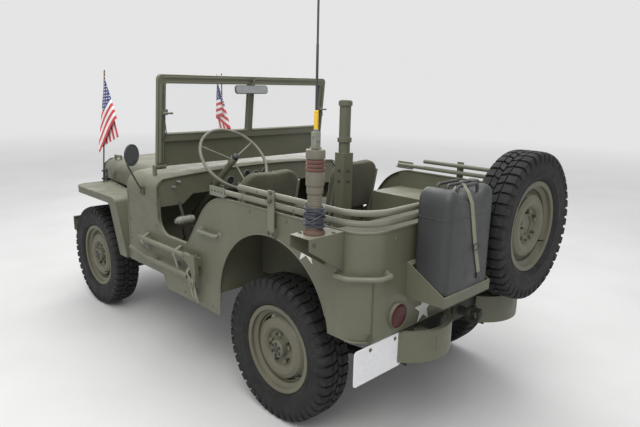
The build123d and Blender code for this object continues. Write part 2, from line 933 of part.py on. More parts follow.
    # Lugs and pins for the windshield, hinge barrels and pins for the hood
    for side in (1, -1):
        lug_y = side * windshield_lug_y
        block((screen_x - 16, screen_x + 16), (lug_y - 6, lug_y + 6), (1060, windshield_hinge_z))
        rod((screen_x, lug_y - 6, windshield_hinge_z), (screen_x, lug_y + 6, windshield_hinge_z), 16)
        rod(
            (screen_x, lug_y, windshield_hinge_z),
            (screen_x, lug_y - side * 50, windshield_hinge_z),
            windshield_pin_radius,
        )
        hinge_y = side * hood_hinge_y
        block(
            (cowl_x - 45, hood_hinge_x),
            (hinge_y - 15, hinge_y + 15),
            (hood_hinge_rise - 7, hood_hinge_rise),
        )
        rod(
            (hood_hinge_x, hinge_y - 15, hood_hinge_rise),
            (hood_hinge_x, hinge_y + 15, hood_hinge_rise),
            hood_hinge_radius,
        )
        rod(
            (hood_hinge_x, hinge_y - 42, hood_hinge_rise),
            (hood_hinge_x, hinge_y + 42, hood_hinge_rise),
            hood_pin_radius,
        )
finish(tub, "tub")

# Dash panel with its instrument faces
dash_bottom_z = 960
dash_end_z = 905
dash_step_y = 500
with BuildPart() as dash_panel:
    with BuildSketch(Plane.YZ.offset(dash_x + 8)) as dash_face:
        with BuildLine():
            Polyline(
                (-tub_half_width + sheet, tub_top_z - sheet),
                (-tub_half_width + sheet, dash_end_z),
                (-dash_step_y - 70, dash_end_z),
                (-dash_step_y, dash_bottom_z),
                (dash_step_y, dash_bottom_z),
                (dash_step_y + 70, dash_end_z),
                (tub_half_width - sheet, dash_end_z),
                (tub_half_width - sheet, tub_top_z - sheet),
            )
            ThreePointArc(
                (tub_half_width - sheet, tub_top_z - sheet),
                (0, tub_top_z + cowl_crown - sheet),
                (-tub_half_width + sheet, tub_top_z - sheet),
            )
        make_face()
        fillet(dash_face.vertices().group_by(Axis.Y)[-1], cowl_corner_radius - sheet)
    extrude(amount=sheet)
    rod(
        steering_centre + column_dir * 200,
        steering_centre + column_dir * 400,
        column_radius + 6,
        mode=Mode.SUBTRACT,
    )
    gauges = [
        # across, height, radius
        (20, 1020, 40),
        (-55, 1045, 25),
        (-55, 990, 25),
        (95, 1045, 25),
        (95, 990, 25),
    ]
    for y, z, radius in gauges:
        rod((dash_x + 9, y, z), (dash_x, y, z), radius)
finish(dash_panel, "dash_panel")

# Fenders: flat tops with a rolled lip, swept down behind the wheel
for name, side in (("fender_left", 1), ("fender_right", -1)):
    with BuildPart() as fender:
        for inset, mode in ((0, Mode.ADD), (sheet, Mode.SUBTRACT)):
            with BuildSketch(Plane.XZ.offset(-side * (fender_half_width - inset))) as fender_side:
                with BuildLine():
                    Polyline(
                        (rear_x + fender_rear_foot + inset, fender_foot_z - inset),
                        (rear_x + fender_rear_top + inset, fender_top_z - inset),
                        (rear_x + fender_front - inset, fender_top_z - inset),
                        (rear_x + fender_front - inset, fender_top_z - fender_lip - inset),
                        (rear_x + fender_rear_top + 70 + inset, fender_top_z - fender_lip - inset),
                        (rear_x + fender_rear_foot + 95 + inset, fender_foot_z - inset),
                        close=True,
                    )
                make_face()
                fillet(
                    fender_side.vertices().sort_by_distance((rear_x + fender_rear_top, fender_top_z))[0],
                    45 - inset,
                )
            extrude(amount=side * (fender_half_width - hood_half_front), mode=mode)
        with BuildSketch(Plane.XY.offset(fender_foot_z - 20)) as fender_plan:
            with BuildLine():
                Polyline(
                    (rear_x + fender_rear_foot - 20, side * (fender_inner_rear + 1)),
                    (rear_x + fender_rear_top, side * (fender_inner_rear + 1)),
                    (rear_x + fender_front, side * (fender_inner_front + 6)),
                    (rear_x + fender_front, side * fender_half_width),
                    (rear_x + fender_rear_foot - 20, side * fender_half_width),
                    close=True,
                )
            make_face()
            fillet(
                fender_plan.vertices().sort_by_distance(
                    (rear_x + fender_front, side * fender_half_width)
                )[0],
                fender_corner_radius,
            )
        extrude(amount=fender_top_z - fender_foot_z + 40, mode=Mode.INTERSECT)
        block(
            (cowl_x, rear_x + 1720),
            (side * (fender_inner_rear + 1), side * (fender_inner_rear + 1 + sheet)),
            (toe_z + 10, fender_top_z - sheet / 2),
        )
    finish(fender, name)

# Grille: pressed guard with upright slots and lamp openings
with BuildPart() as grille:
    grille_x = rear_x + grille_forward
    with BuildSketch(Plane.YZ.offset(grille_x)) as grille_face:
        with BuildLine():
            FilletPolyline(
                (-grille_half_width + 40, grille_bottom_z),
                (grille_half_width - 40, grille_bottom_z),
                (grille_half_width, fender_top_z - 10),
                (grille_half_width - 12, grille_top_z - 40),
                (grille_half_width - 70, grille_top_z),
                (-grille_half_width + 70, grille_top_z),
                (-grille_half_width + 12, grille_top_z - 40),
                (-grille_half_width, fender_top_z - 10),
                radius=25,
                close=True,
            )
        make_face()
        slot_height = slot_top_z - slot_bottom_z
        with Locations((0, (slot_top_z + slot_bottom_z) / 2)):
            with GridLocations(slot_pitch, 1, slot_count, 1):
                SlotOverall(slot_height, slot_width, rotation=90, mode=Mode.SUBTRACT)
        with Locations((lamp_y, lamp_z), (-lamp_y, lamp_z)):
            Circle(lamp_radius + 10, mode=Mode.SUBTRACT)
    extrude(amount=sheet)
    for side in (1, -1):
        block(
            (grille_x - grille_depth, grille_x),
            (side * (grille_half_width - 14), side * (grille_half_width - 10)),
            (hood_side_z - 85, hood_side_z - 7),
        )
        block(
            (grille_x - 20, grille_x + sheet),
            (side * rail_inner_y, side * rail_outer_y),
            (front_floor_z, grille_bottom_z + 4),
        )
finish(grille, "grille")

# Lamps: two head lamps behind the grille and two tail lamps
with BuildPart() as lamps:
    for side in (1, -1):
        with Locations(Location((grille_x - 22, side * lamp_y, lamp_z), (0, 90, 0))):
            Cylinder(lamp_radius, 40)
        with Locations(Location((grille_x - 4, side * lamp_y, lamp_z), (0, 90, 0))):
            Cylinder(lamp_radius + 20, 8)
        with Locations(Location((tub_rear_x - 17, side * 530, 690), (0, 90, 0))):
            Cylinder(55, 34)
finish(lamps, "lamps")

# Hood: a crowned lid that tapers forward, with two rests for the folded windshield
with BuildPart() as hood:
    for inset, mode in ((0, Mode.ADD), (sheet, Mode.SUBTRACT)):
        sections = []
        for forward, half, top in (
            (hood_rear, hood_half_rear, hood_rear_top_z),
            (hood_front, hood_half_front, hood_front_top_z),
        ):
            with BuildSketch(Plane.YZ.offset(rear_x + forward)) as hood_section:
                with BuildLine():
                    Polyline(
                        (-half + inset, top - 22 - inset),
                        (-half + inset, hood_side_z - inset),
                        (half - inset, hood_side_z - inset),
                        (half - inset, top - 22 - inset),
                    )
                    ThreePointArc(
                        (half - inset, top - 22 - inset),
                        (0, top - inset),
                        (-half + inset, top - 22 - inset),
                    )
                make_face()
                fillet(hood_section.vertices().group_by(Axis.Y)[-1], hood_corner_radius - inset)
            sections.append(hood_section.sketch)
        loft(sections, mode=mode)
    for side in (1, -1):
        rest_x = screen_x + windshield_height - 20
        block((rest_x - 18, rest_x + 18), (side * 300 - 45, side * 300 + 45), (1066, 1128))
        for end in (1, -1):
            leaf_y = (
                side * hood_hinge_y + end * (15 + running_gap),
                side * hood_hinge_y + end * 40,
            )
            block(
                (hood_hinge_x, hood_hinge_x + 45),
                leaf_y,
                (hood_rear_top_z - 6, hood_hinge_rise),
            )
            rod(
                (hood_hinge_x, leaf_y[0], hood_hinge_rise),
                (hood_hinge_x, leaf_y[1], hood_hinge_rise),
                hood_hinge_radius,
            )
            rod(
                (hood_hinge_x, leaf_y[0], hood_hinge_rise),
                (hood_hinge_x, leaf_y[1], hood_hinge_rise),
                hood_pin_radius + running_gap,
                mode=Mode.SUBTRACT,
            )
finish(hood, "hood")

# Windshield frame, drawn in its own raked plane: x across the car, y up the frame
rake = math.radians(windshield_rake)
windshield_plane = Plane(
    origin=(rear_x + windshield_hinge_forward, 0, windshield_hinge_z),
    x_dir=(0, 1, 0),
    z_dir=(math.cos(rake), 0, math.sin(rake)),
)
centre_strip = 28
top_rail_radius = 16
opening_low = windshield_lower_panel
opening_high = windshield_height - windshield_bar
with BuildPart() as windshield_frame:
    with BuildSketch(windshield_plane.offset(-windshield_depth / 2)) as frame_face:
        with Locations((0, windshield_height / 2)):
            RectangleRounded(2 * windshield_half_width, windshield_height, 30)
        with Locations((0, (opening_low + opening_high) / 2)):
            Rectangle(
                2 * (windshield_half_width - windshield_bar),
                opening_high - opening_low,
                mode=Mode.SUBTRACT,
            )
            Rectangle(centre_strip, opening_high - opening_low)
    extrude(amount=windshield_depth)
    rail_end = windshield_half_width - 30
    top_rail = [
        windshield_plane.from_local_coords((y, windshield_height - 16, 0))
        for y in (-rail_end, rail_end)
    ]
    rod(top_rail[0], top_rail[1], top_rail_radius)
    with BuildSketch(windshield_plane.offset(-windshield_depth / 2)) as panel_hollow:
        with Locations((0, opening_low / 2 - 20)):
            Rectangle(2 * (windshield_half_width - windshield_bar), opening_low - 40)
    extrude(amount=windshield_depth - sheet, mode=Mode.SUBTRACT)
    for side in (1, -1):
        barrel_y = (side * (windshield_lug_y - 6 - running_gap), side * (windshield_half_width - 60))
        for radius, mode in (
            (barrel_radius, Mode.ADD),
            (windshield_pin_radius + running_gap, Mode.SUBTRACT),
        ):
            rod(
                (screen_x, barrel_y[0], windshield_hinge_z),
                (screen_x, barrel_y[1], windshield_hinge_z),
                radius,
                mode=mode,
            )
finish(windshield_frame, "windshield_frame")

with BuildPart() as windshield_glass:
    with BuildSketch(windshield_plane.offset(-glass_thickness / 2)) as pane:
        with Locations((0, (opening_low + opening_high) / 2)):
            Rectangle(
                2 * (windshield_half_width - windshield_bar),
                opening_high - opening_low,
            )
            Rectangle(centre_strip, opening_high - opening_low, mode=Mode.SUBTRACT)
    extrude(amount=glass_thickness)
finish(windshield_glass, "windshield_glass")

# Steering column with its box on the left rail
column_top = steering_centre + column_dir * 45
column_foot = steering_centre + column_dir * 900
with BuildPart() as steering_column:
    rod(column_top, column_foot, column_radius)
    block(
        (column_foot.X - 60, column_foot.X + 60),
        (wheel_centre_y - 36, wheel_centre_y + 18),
        (front_floor_z, column_foot.Z + 40),
    )
    rod(
        steering_centre + column_dir * 40,
        steering_centre + column_dir * 150,
        shaft_radius + running_gap,
        mode=Mode.SUBTRACT,
    )
finish(steering_column, "steering_column")

# Steering wheel: thin rim, three wire spokes, hub and shaft
steering_plane = Plane(origin=steering_centre, x_dir=(0, 1, 0), z_dir=column_dir * -1)
with BuildPart() as steering_wheel:
    with Locations(steering_plane):
        Torus(steering_radius, steering_rim_radius)
    rod(steering_centre - column_dir * 4, steering_centre + column_dir * 38, 24)
    rod(steering_centre + column_dir * 20, steering_centre + column_dir * 110, shaft_radius)
    for spoke in range(3):
        angle = math.radians(90 + 120 * spoke)
        across = steering_plane.x_dir * math.cos(angle) + steering_plane.y_dir * math.sin(angle)
        rod(
            steering_centre + column_dir * 14 + across * 15,
            steering_centre + across * steering_radius,
            5,
        )
finish(steering_wheel, "steering_wheel")

# Seats: bent tube frames, pads, and backs with rounded tops
seat_sides = (1, -1)
seat_front_x = rear_x + seat_front
seat_rear_x = rear_x + seat_rear
pad_rail_z = seat_low_z - seat_tube_radius - 1
lean = back_lean / (seat_back_height + seat_low_z - pad_rail_z)
with BuildPart() as seat_frames:
    for seat in seat_sides:
        for side in (1, -1):
            edge = seat * seat_y + side * (seat_half_width - 15)
            bent_tube(
                [
                    (seat_front_x - 20, edge, front_floor_z + sheet),
                    (seat_front_x - 20, edge, pad_rail_z),
                    (seat_rear_x - 10, edge, pad_rail_z),
                    (seat_rear_x - 10 - back_lean, edge, seat_low_z + seat_back_height),
                ],
                [40, 20],
                seat_tube_radius,
            )
            rod(
                (seat_rear_x + 40, edge, front_floor_z + sheet),
                (seat_rear_x + 40, edge, pad_rail_z),
                seat_tube_radius,
            )
        block(
            (seat_rear_x + 10, seat_front_x - 30),
            (seat * seat_y - seat_half_width + 20, seat * seat_y + seat_half_width - 20),
            (seat_low_z - 4, seat_low_z),
        )
    block(
        (rear_x + bench_rear, rear_x + bench_front),
        (-wheelhouse_y + 6, wheelhouse_y - 6),
        (bench_low_z - 4, bench_low_z),
    )
    for side in (1, -1):
        y = side * (wheelhouse_y - 20)
        for x in (rear_x + bench_front - 20, rear_x + bench_rear + 20):
            rod((x, y, rear_floor_z + sheet), (x, y, bench_low_z - 3), seat_tube_radius)
finish(seat_frames, "seat_frames")

back_low = cushion_thickness + 5
back_high = seat_back_height + 60
back_angle = math.atan(lean)
tube_front = seat_tube_radius / math.cos(back_angle) + running_gap
back_foot_x = seat_rear_x - 10 - lean * (seat_low_z + back_low - pad_rail_z) + tube_front
back_plane = Plane(
    origin=(back_foot_x, 0, seat_low_z + back_low),
    x_dir=(0, 1, 0),
    z_dir=(math.cos(back_angle), 0, math.sin(back_angle)),
)
back_rise = (back_high - back_low) / math.cos(back_angle)
with BuildPart() as seat_cushions:
    for seat in seat_sides:
        block(
            (seat_rear_x + 5, seat_front_x),
            (seat * seat_y - seat_half_width, seat * seat_y + seat_half_width),
            (seat_low_z, seat_low_z + cushion_thickness),
        )
        with BuildSketch(back_plane) as back_face:
            with Locations((seat * seat_y, back_rise / 2)):
                Rectangle(2 * seat_half_width, back_rise)
            fillet(back_face.vertices().group_by(Axis.Z)[-1], seat_back_corner)
        extrude(amount=back_thickness)
    block(
        (rear_x + bench_rear, rear_x + bench_front),
        (-wheelhouse_y + 10, wheelhouse_y - 10),
        (bench_low_z, bench_low_z + cushion_thickness),
    )
finish(seat_cushions, "seat_cushions")

# Spare wheel on the right of the rear panel
spare_centre = (rear_x - spare_back, spare_y, spare_z)
with BuildPart() as spare_wheel:
    wheel_solid(spare_centre, (-1, 0, 0), False)
finish(spare_wheel, "spare_wheel")
with BuildPart() as spare_tyre:
    add(tyre_ring.part.moved(Location(Plane(origin=spare_centre, x_dir=(0, 0, 1), z_dir=(-1, 0, 0)))))
finish(spare_tyre, "spare_tyre")

# Rear carriers: the spare's bracket and the can's tray, with sides that slope down outward
disc_back_x = spare_centre[0] - hub_face_offset
can_x = (rear_x - can_back - can_depth, rear_x - can_back)
can_sides = (can_y - can_width / 2, can_y + can_width / 2)
tray_wall = 5
tray_gap = 1
tray_lip_z = can_bottom_z + 38
tray_back_z = can_bottom_z + 150
with BuildPart() as rear_carriers:
    rod((disc_back_x, spare_y, spare_z), (tub_rear_x, spare_y, spare_z), 48)
    with BuildSketch(Plane.YZ.offset(tub_rear_x)) as spare_plate:
        with Locations((spare_y, spare_z - 40)):
            RectangleRounded(210, 200, 30)
    extrude(amount=-6)
    with BuildSketch(Plane.XZ.offset(-(can_sides[1] + tray_gap + tray_wall))) as tray_side:
        with BuildLine():
            Polyline(
                (can_x[0] - tray_gap - tray_wall, can_bottom_z - tray_wall),
                (tub_rear_x, can_bottom_z - tray_wall),
                (tub_rear_x, tray_back_z),
                (can_x[0] - tray_gap - tray_wall, tray_lip_z),
                close=True,
            )
        make_face()
    extrude(amount=can_width + 2 * (tray_gap + tray_wall))
    block(
        (can_x[0] - tray_gap, can_x[1] + tray_gap),
        (can_sides[0] - tray_gap, can_sides[1] + tray_gap),
        (can_bottom_z, tray_back_z + 10),
        mode=Mode.SUBTRACT,
    )
finish(rear_carriers, "rear_carriers")

# Fuel can: rounded upright edges, sloped shoulders and three long low handles
can_top_z = can_bottom_z + can_height - 32
shoulder_drop = 42
handle_ends = (can_y - 75, can_y + 80)
with BuildPart() as fuel_can:
    with BuildSketch(Plane.YZ.offset(can_x[0])) as can_face:
        with BuildLine():
            Polyline(
                (can_sides[0], can_bottom_z),
                (can_sides[1], can_bottom_z),
                (can_sides[1], can_top_z - shoulder_drop),
                (can_sides[1] - 30, can_top_z),
                (can_sides[0] + 75, can_top_z),
                (can_sides[0], can_top_z - 2 * shoulder_drop),
                close=True,
            )
        make_face()
    extrude(amount=can_depth)
    fillet(fuel_can.edges().filter_by(Axis.Z), 32)
    for shift in (-48, 0, 48):
        x = sum(can_x) / 2 + shift
        bent_tube(
            [
                (x, handle_ends[0], can_top_z - 5),
                (x, handle_ends[0], can_top_z + 24),
                (x, handle_ends[1], can_top_z + 24),
                (x, handle_ends[1], can_top_z - 5),
            ],
            16,
            8,
        )
finish(fuel_can, "fuel_can")

# Top bows, folded back round the tub, and their pivot brackets
with BuildPart() as top_bows:
    for z, front in ((bow_high_z, rear_x + 200), (bow_low_z, rear_x + 410)):
        bow_rear = tub_rear_x + 6
        bent_tube(
            [
                (front, bow_y, z),
                (bow_rear, bow_y, z),
                (bow_rear, -bow_y, z),
                (front, -bow_y, z),
            ],
            bow_corner_radius,
            bow_radius,
        )
    for side in (1, -1):
        x = rear_x - 60
        block((x - 22, x + 22), (side * (tub_half_width + 14), side * (tub_half_width + 20)), (960, 1170))
        block((x - 22, x + 22), (side * tub_half_width, side * (tub_half_width + 20)), (960, 1000))
        outer_y = side * (tub_half_width + 15)
        block((x - 8, x + 8), (side * (bow_y + 5), outer_y), (bow_low_z - 6, bow_high_z + 6))
finish(top_bows, "top_bows")

# Aerial shelf on the left side and the aerial on it
with BuildPart() as aerial_shelf:
    shelf_z = tub_top_z
    front_edge = rear_x + shelf_front
    rear_edge = rear_x + shelf_rear
    block((rear_edge, front_edge), (tub_half_width, shelf_out), (shelf_z - sheet, shelf_z))
    for x in (rear_edge, front_edge - sheet):
        with BuildSketch(Plane.YZ.offset(x)) as gusset:
            with BuildLine():
                Polyline(
                    (tub_half_width, shelf_z),
                    (shelf_out, shelf_z),
                    (shelf_out, shelf_z - 48),
                    (tub_half_width, shelf_z - 165),
                    close=True,
                )
            make_face()
        extrude(amount=sheet)
finish(aerial_shelf, "aerial_shelf")

mast_profile = [
    # height above the shelf, radius
    (0, 42),
    (11, 42),
    (22, 31),
    (92, 28),
    (158, 28),
    (158, 32),
    (188, 32),
    (188, 36),
    (243, 36),
    (243, 31),
    (291, 31),
    (291, 37),
    (326, 37),
    (326, 14),
    (380, 14),
    (380, 12),
    (396, 12),
]
with BuildPart() as aerial:
    mast_x = rear_x + mast_forward
    with BuildSketch(Plane(origin=(mast_x, mast_y, shelf_z), x_dir=(1, 0, 0), z_dir=(0, -1, 0))) as mast:
        with BuildLine():
            Polyline(
                (0, 0),
                *[(radius, height) for height, radius in mast_profile],
                (0, mast_profile[-1][0]),
                close=True,
            )
        make_face()
    revolve(mast.sketch, axis=Axis((mast_x, mast_y, shelf_z), (0, 0, 1)))
    rod((mast_x, mast_y, shelf_z + 390), (mast_x, mast_y, whip_top_z), 5)
finish(aerial, "aerial")

# Pedestal post with an empty top socket
with BuildPart() as pedestal:
    post_x = rear_x + post_forward
    half_post = post_side / 2
    post_base_z = rear_floor_z + sheet
    block((post_x - 130, post_x + 130), (-130, 130), (post_base_z, post_base_z + 8))
    post_sides = (post_x - half_post, post_x + half_post)
    block(post_sides, (-half_post, half_post), (post_base_z, post_square_top_z))
    rod((post_x, 0, post_square_top_z - 10), (post_x, 0, post_top_z), post_round_radius)
    rod((post_x, 0, post_square_top_z + 60), (post_x, 0, post_square_top_z + 85), post_round_radius + 8)
    rod((post_x, 0, post_top_z - 30), (post_x, 0, post_top_z - 5), post_round_radius + 7)
    rod((post_x, 0, post_top_z - socket_depth), (post_x, 0, post_top_z), socket_radius, mode=Mode.SUBTRACT)
finish(pedestal, "pedestal")

# Hand tools on the left side: an axe above, a shovel below, on four brackets
tool_y = tub_half_width + tool_gap
axe_x = rear_x + axe_neck
axe_head = [
    # distance forward of the axe's neck, height above its handle
    (20, 17),
    (-6, 20),
    (-50, 16),
    (-98, 34),
    (-104, 20),
    (-110, -70),
    (-104, -128),
    (-88, -118),
    (-52, -46),
    (-8, -19),
    (20, -17),
]
with BuildPart() as hand_tools:
    rod((axe_x, tool_y, axe_z), (rear_x + axe_butt, tool_y, axe_z), handle_radius)
    with BuildSketch(Plane.XZ.offset(-(tool_y + 11))) as axe_side:
        with BuildLine():
            Polyline(*[(axe_x + x, axe_z + z) for x, z in axe_head], close=True)
        make_face()
    extrude(amount=22)
    block((axe_x - 100, axe_x - 76), (tub_half_width, tool_y - 11), (axe_z - 40, axe_z + 8))
    bracket_x = rear_x + axe_butt - 70
    block((bracket_x - 10, bracket_x + 10), (tub_half_width, tool_y), (axe_z - 16, axe_z + 6))
    rod(
        (rear_x + shovel_grip + 60, tool_y, shovel_z),
        (rear_x + shovel_neck, tool_y, shovel_z),
        handle_radius,
    )
    rod(
        (rear_x + shovel_neck - 5, tool_y, shovel_z),
        (rear_x + shovel_tip, tool_y, shovel_z + 22),
        11,
    )
    bent_tube(
        [
            (rear_x + shovel_grip + 70, tool_y, shovel_z),
            (rear_x + shovel_grip + 45, tool_y, shovel_z + 48),
            (rear_x + shovel_grip, tool_y, shovel_z + 48),
            (rear_x + shovel_grip, tool_y, shovel_z - 48),
            (rear_x + shovel_grip + 45, tool_y, shovel_z - 48),
            (rear_x + shovel_grip + 70, tool_y, shovel_z),
        ],
        16,
        8,
    )
    for forward in (shovel_grip + 90, shovel_neck - 60):
        x = rear_x + forward
        block((x - 10, x + 10), (tub_half_width, tool_y), (shovel_z - 12, shovel_z + 8))
finish(hand_tools, "hand_tools")

# Grab handles: two round the rear corners, two low on the quarters
handle_z = 888
with BuildPart() as grab_handles:
    for side in (1, -1):
        bent_tube(
            [
                (rear_x - 460, side * tub_half_width, handle_z),
                (rear_x - 460, side * (tub_half_width + 27), handle_z),
                (tub_rear_x + 70, side * (tub_half_width + 27), handle_z),
                (tub_rear_x - 27, side * (tub_half_width - 70), handle_z),
                (tub_rear_x - 27, side * (tub_half_width - 145), handle_z),
                (tub_rear_x, side * (tub_half_width - 145), handle_z),
            ],
            [16, 60, 60, 16],
            10,
        )
        bent_tube(
            [
                (rear_x + 530, side * tub_half_width, 870),
                (rear_x + 530, side * (tub_half_width + 27), 870),
                (rear_x + 370, side * (tub_half_width + 27), 870),
                (rear_x + 370, side * tub_half_width, 870),
            ],
            16,
            10,
        )
finish(grab_handles, "grab_handles")

# Door mirror on the left of the cowl
with BuildPart() as mirror:
    mirror_foot = (rear_x + 1160, tub_half_width + 6, 1000)
    mirror_head = (rear_x + 1110, 838, 1210)
    rod(mirror_foot, mirror_head, 6)
    block((rear_x + 1135, rear_x + 1185), (tub_half_width, tub_half_width + 8), (965, 1010))
    rod(mirror_head, (mirror_head[0] + 16, mirror_head[1], mirror_head[2]), 66)
finish(mirror, "mirror")

# Rear towing hook: plate, shank, open jaw and latch
jaw_radius = 24
jaw_wall = 17
jaw_width = 28
latch_gap = 35
with BuildPart() as tow_hook:
    hook_x = rear_x - rail_rear_overhang
    hook_z = front_floor_z + kick - 50
    jaw_x = hook_x - 85
    block((hook_x - 10, hook_x), (-60, 60), (hook_z - 45, hook_z + 45))
    rod((jaw_x + jaw_radius + 5, 0, hook_z), (hook_x, 0, hook_z), 22)
    with BuildSketch(Plane.XZ.offset(jaw_width / 2)) as jaw:
        with Locations((jaw_x, hook_z)):
            Circle(jaw_radius + jaw_wall)
            Circle(jaw_radius, mode=Mode.SUBTRACT)
        with Locations((jaw_x - jaw_radius, hook_z + jaw_radius + jaw_wall)):
            Rectangle(latch_gap, latch_gap, mode=Mode.SUBTRACT)
    extrude(amount=-jaw_width)
    block(
        (jaw_x - jaw_radius - jaw_wall, jaw_x + jaw_radius),
        (-jaw_width / 2 + 6, jaw_width / 2 - 6),
        (hook_z + jaw_radius, hook_z + jaw_radius + 12),
    )
finish(tow_hook, "tow_hook")

# Flag staffs on the front corners and their cloths
staff_x = rear_x + 2175
staff_top_z = 1690
staff_radius = 5
staffs = [
    # across at the foot, across at the top
    (545, 485),
    (-535, -535),
]
flag_z = (1090, 1640)
flag_reach = 160
flag_thickness = 8
with BuildPart() as flag_staffs:
    for foot_y, top_y in staffs:
        rod((staff_x, foot_y, fender_top_z), (staff_x, top_y, staff_top_z), staff_radius)
finish(flag_staffs, "flag_staffs")
with BuildPart() as flags:
    for foot_y, top_y in staffs:
        slope = (top_y - foot_y) / (staff_top_z - fender_top_z)
        low_y, high_y = [foot_y + slope * (z - fender_top_z) for z in flag_z]
        with BuildSketch(Plane.YZ.offset(staff_x - staff_radius - running_gap)) as flag_end:
            with BuildLine():
                Polyline(
                    (low_y - flag_thickness / 2, flag_z[0]),
                    (low_y + flag_thickness / 2, flag_z[0]),
                    (high_y + flag_thickness / 2, flag_z[1]),
                    (high_y - flag_thickness / 2, flag_z[1]),
                    close=True,
                )
            make_face()
        extrude(amount=-flag_reach)
finish(flags, "flags")

# Pedals and levers, each a bent stalk on a foot with its knob or pad
levers = [
    # across, forward of the rear axle, knob height
    (0, 1000, 860),
    (-62, 960, 800),
    (-114, 960, 800),
]
pedals = [250, 418, 476]
pedal_forward = 1180
with BuildPart() as controls:
    lever_low = front_floor_z + sheet
    for y, forward, top in levers:
        x = rear_x + forward
        block((x - 18, x + 18), (y - 16, y + 16), (lever_low, lever_low + 25))
        bent_tube([(x, y, lever_low + 20), (x, y, lever_low + 80), (x - 60, y, top)], 40, 7)
        block((x - 75, x - 45), (y - 15, y + 15), (top - 10, top + 24))
    for y in pedals:
        x = rear_x + pedal_forward
        block((x - 15, x + 15), (y - 15, y + 15), (lever_low, lever_low + 20))
        bent_tube([(x, y, lever_low + 15), (x, y, lever_low + 60), (x - 40, y, 690)], 30, 8)
        block((x - 62, x - 32), (y - 26, y + 26), (668, 722))
finish(controls, "controls")
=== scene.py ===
"""Looks of the quarter-ton open 4x4 field car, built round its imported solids. Metres.

Frame: +X forward, +Y to the car's left, +Z up, origin on the ground midway between the axles.
"""

import random
from math import atan, atan2, cos, degrees, hypot, pi, radians, sin, tan, tau

import bmesh
import bpy
from mathutils import Matrix, Vector
from mathutils.kdtree import KDTree


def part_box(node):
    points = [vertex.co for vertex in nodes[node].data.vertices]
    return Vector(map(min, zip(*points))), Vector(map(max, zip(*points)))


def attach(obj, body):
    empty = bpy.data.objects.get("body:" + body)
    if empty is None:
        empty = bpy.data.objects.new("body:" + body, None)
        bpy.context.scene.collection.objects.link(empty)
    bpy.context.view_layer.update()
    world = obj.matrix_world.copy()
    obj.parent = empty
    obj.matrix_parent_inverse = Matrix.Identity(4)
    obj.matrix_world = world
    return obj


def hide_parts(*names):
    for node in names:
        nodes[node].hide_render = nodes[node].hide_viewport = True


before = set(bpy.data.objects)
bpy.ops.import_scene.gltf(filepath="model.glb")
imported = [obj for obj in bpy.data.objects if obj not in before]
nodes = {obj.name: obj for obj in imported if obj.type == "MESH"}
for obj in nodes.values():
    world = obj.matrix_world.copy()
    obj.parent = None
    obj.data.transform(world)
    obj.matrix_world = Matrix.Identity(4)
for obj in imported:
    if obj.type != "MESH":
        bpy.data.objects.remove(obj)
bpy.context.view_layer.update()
random.seed(7)

REAR = -1.016
FRONT = 1.016
TUB_REAR = REAR - 0.6
TUB_TOP = 1.07
AHEAD = (1, 0, 0)
BACK = (-1, 0, 0)
UP = (0, 0, 1)


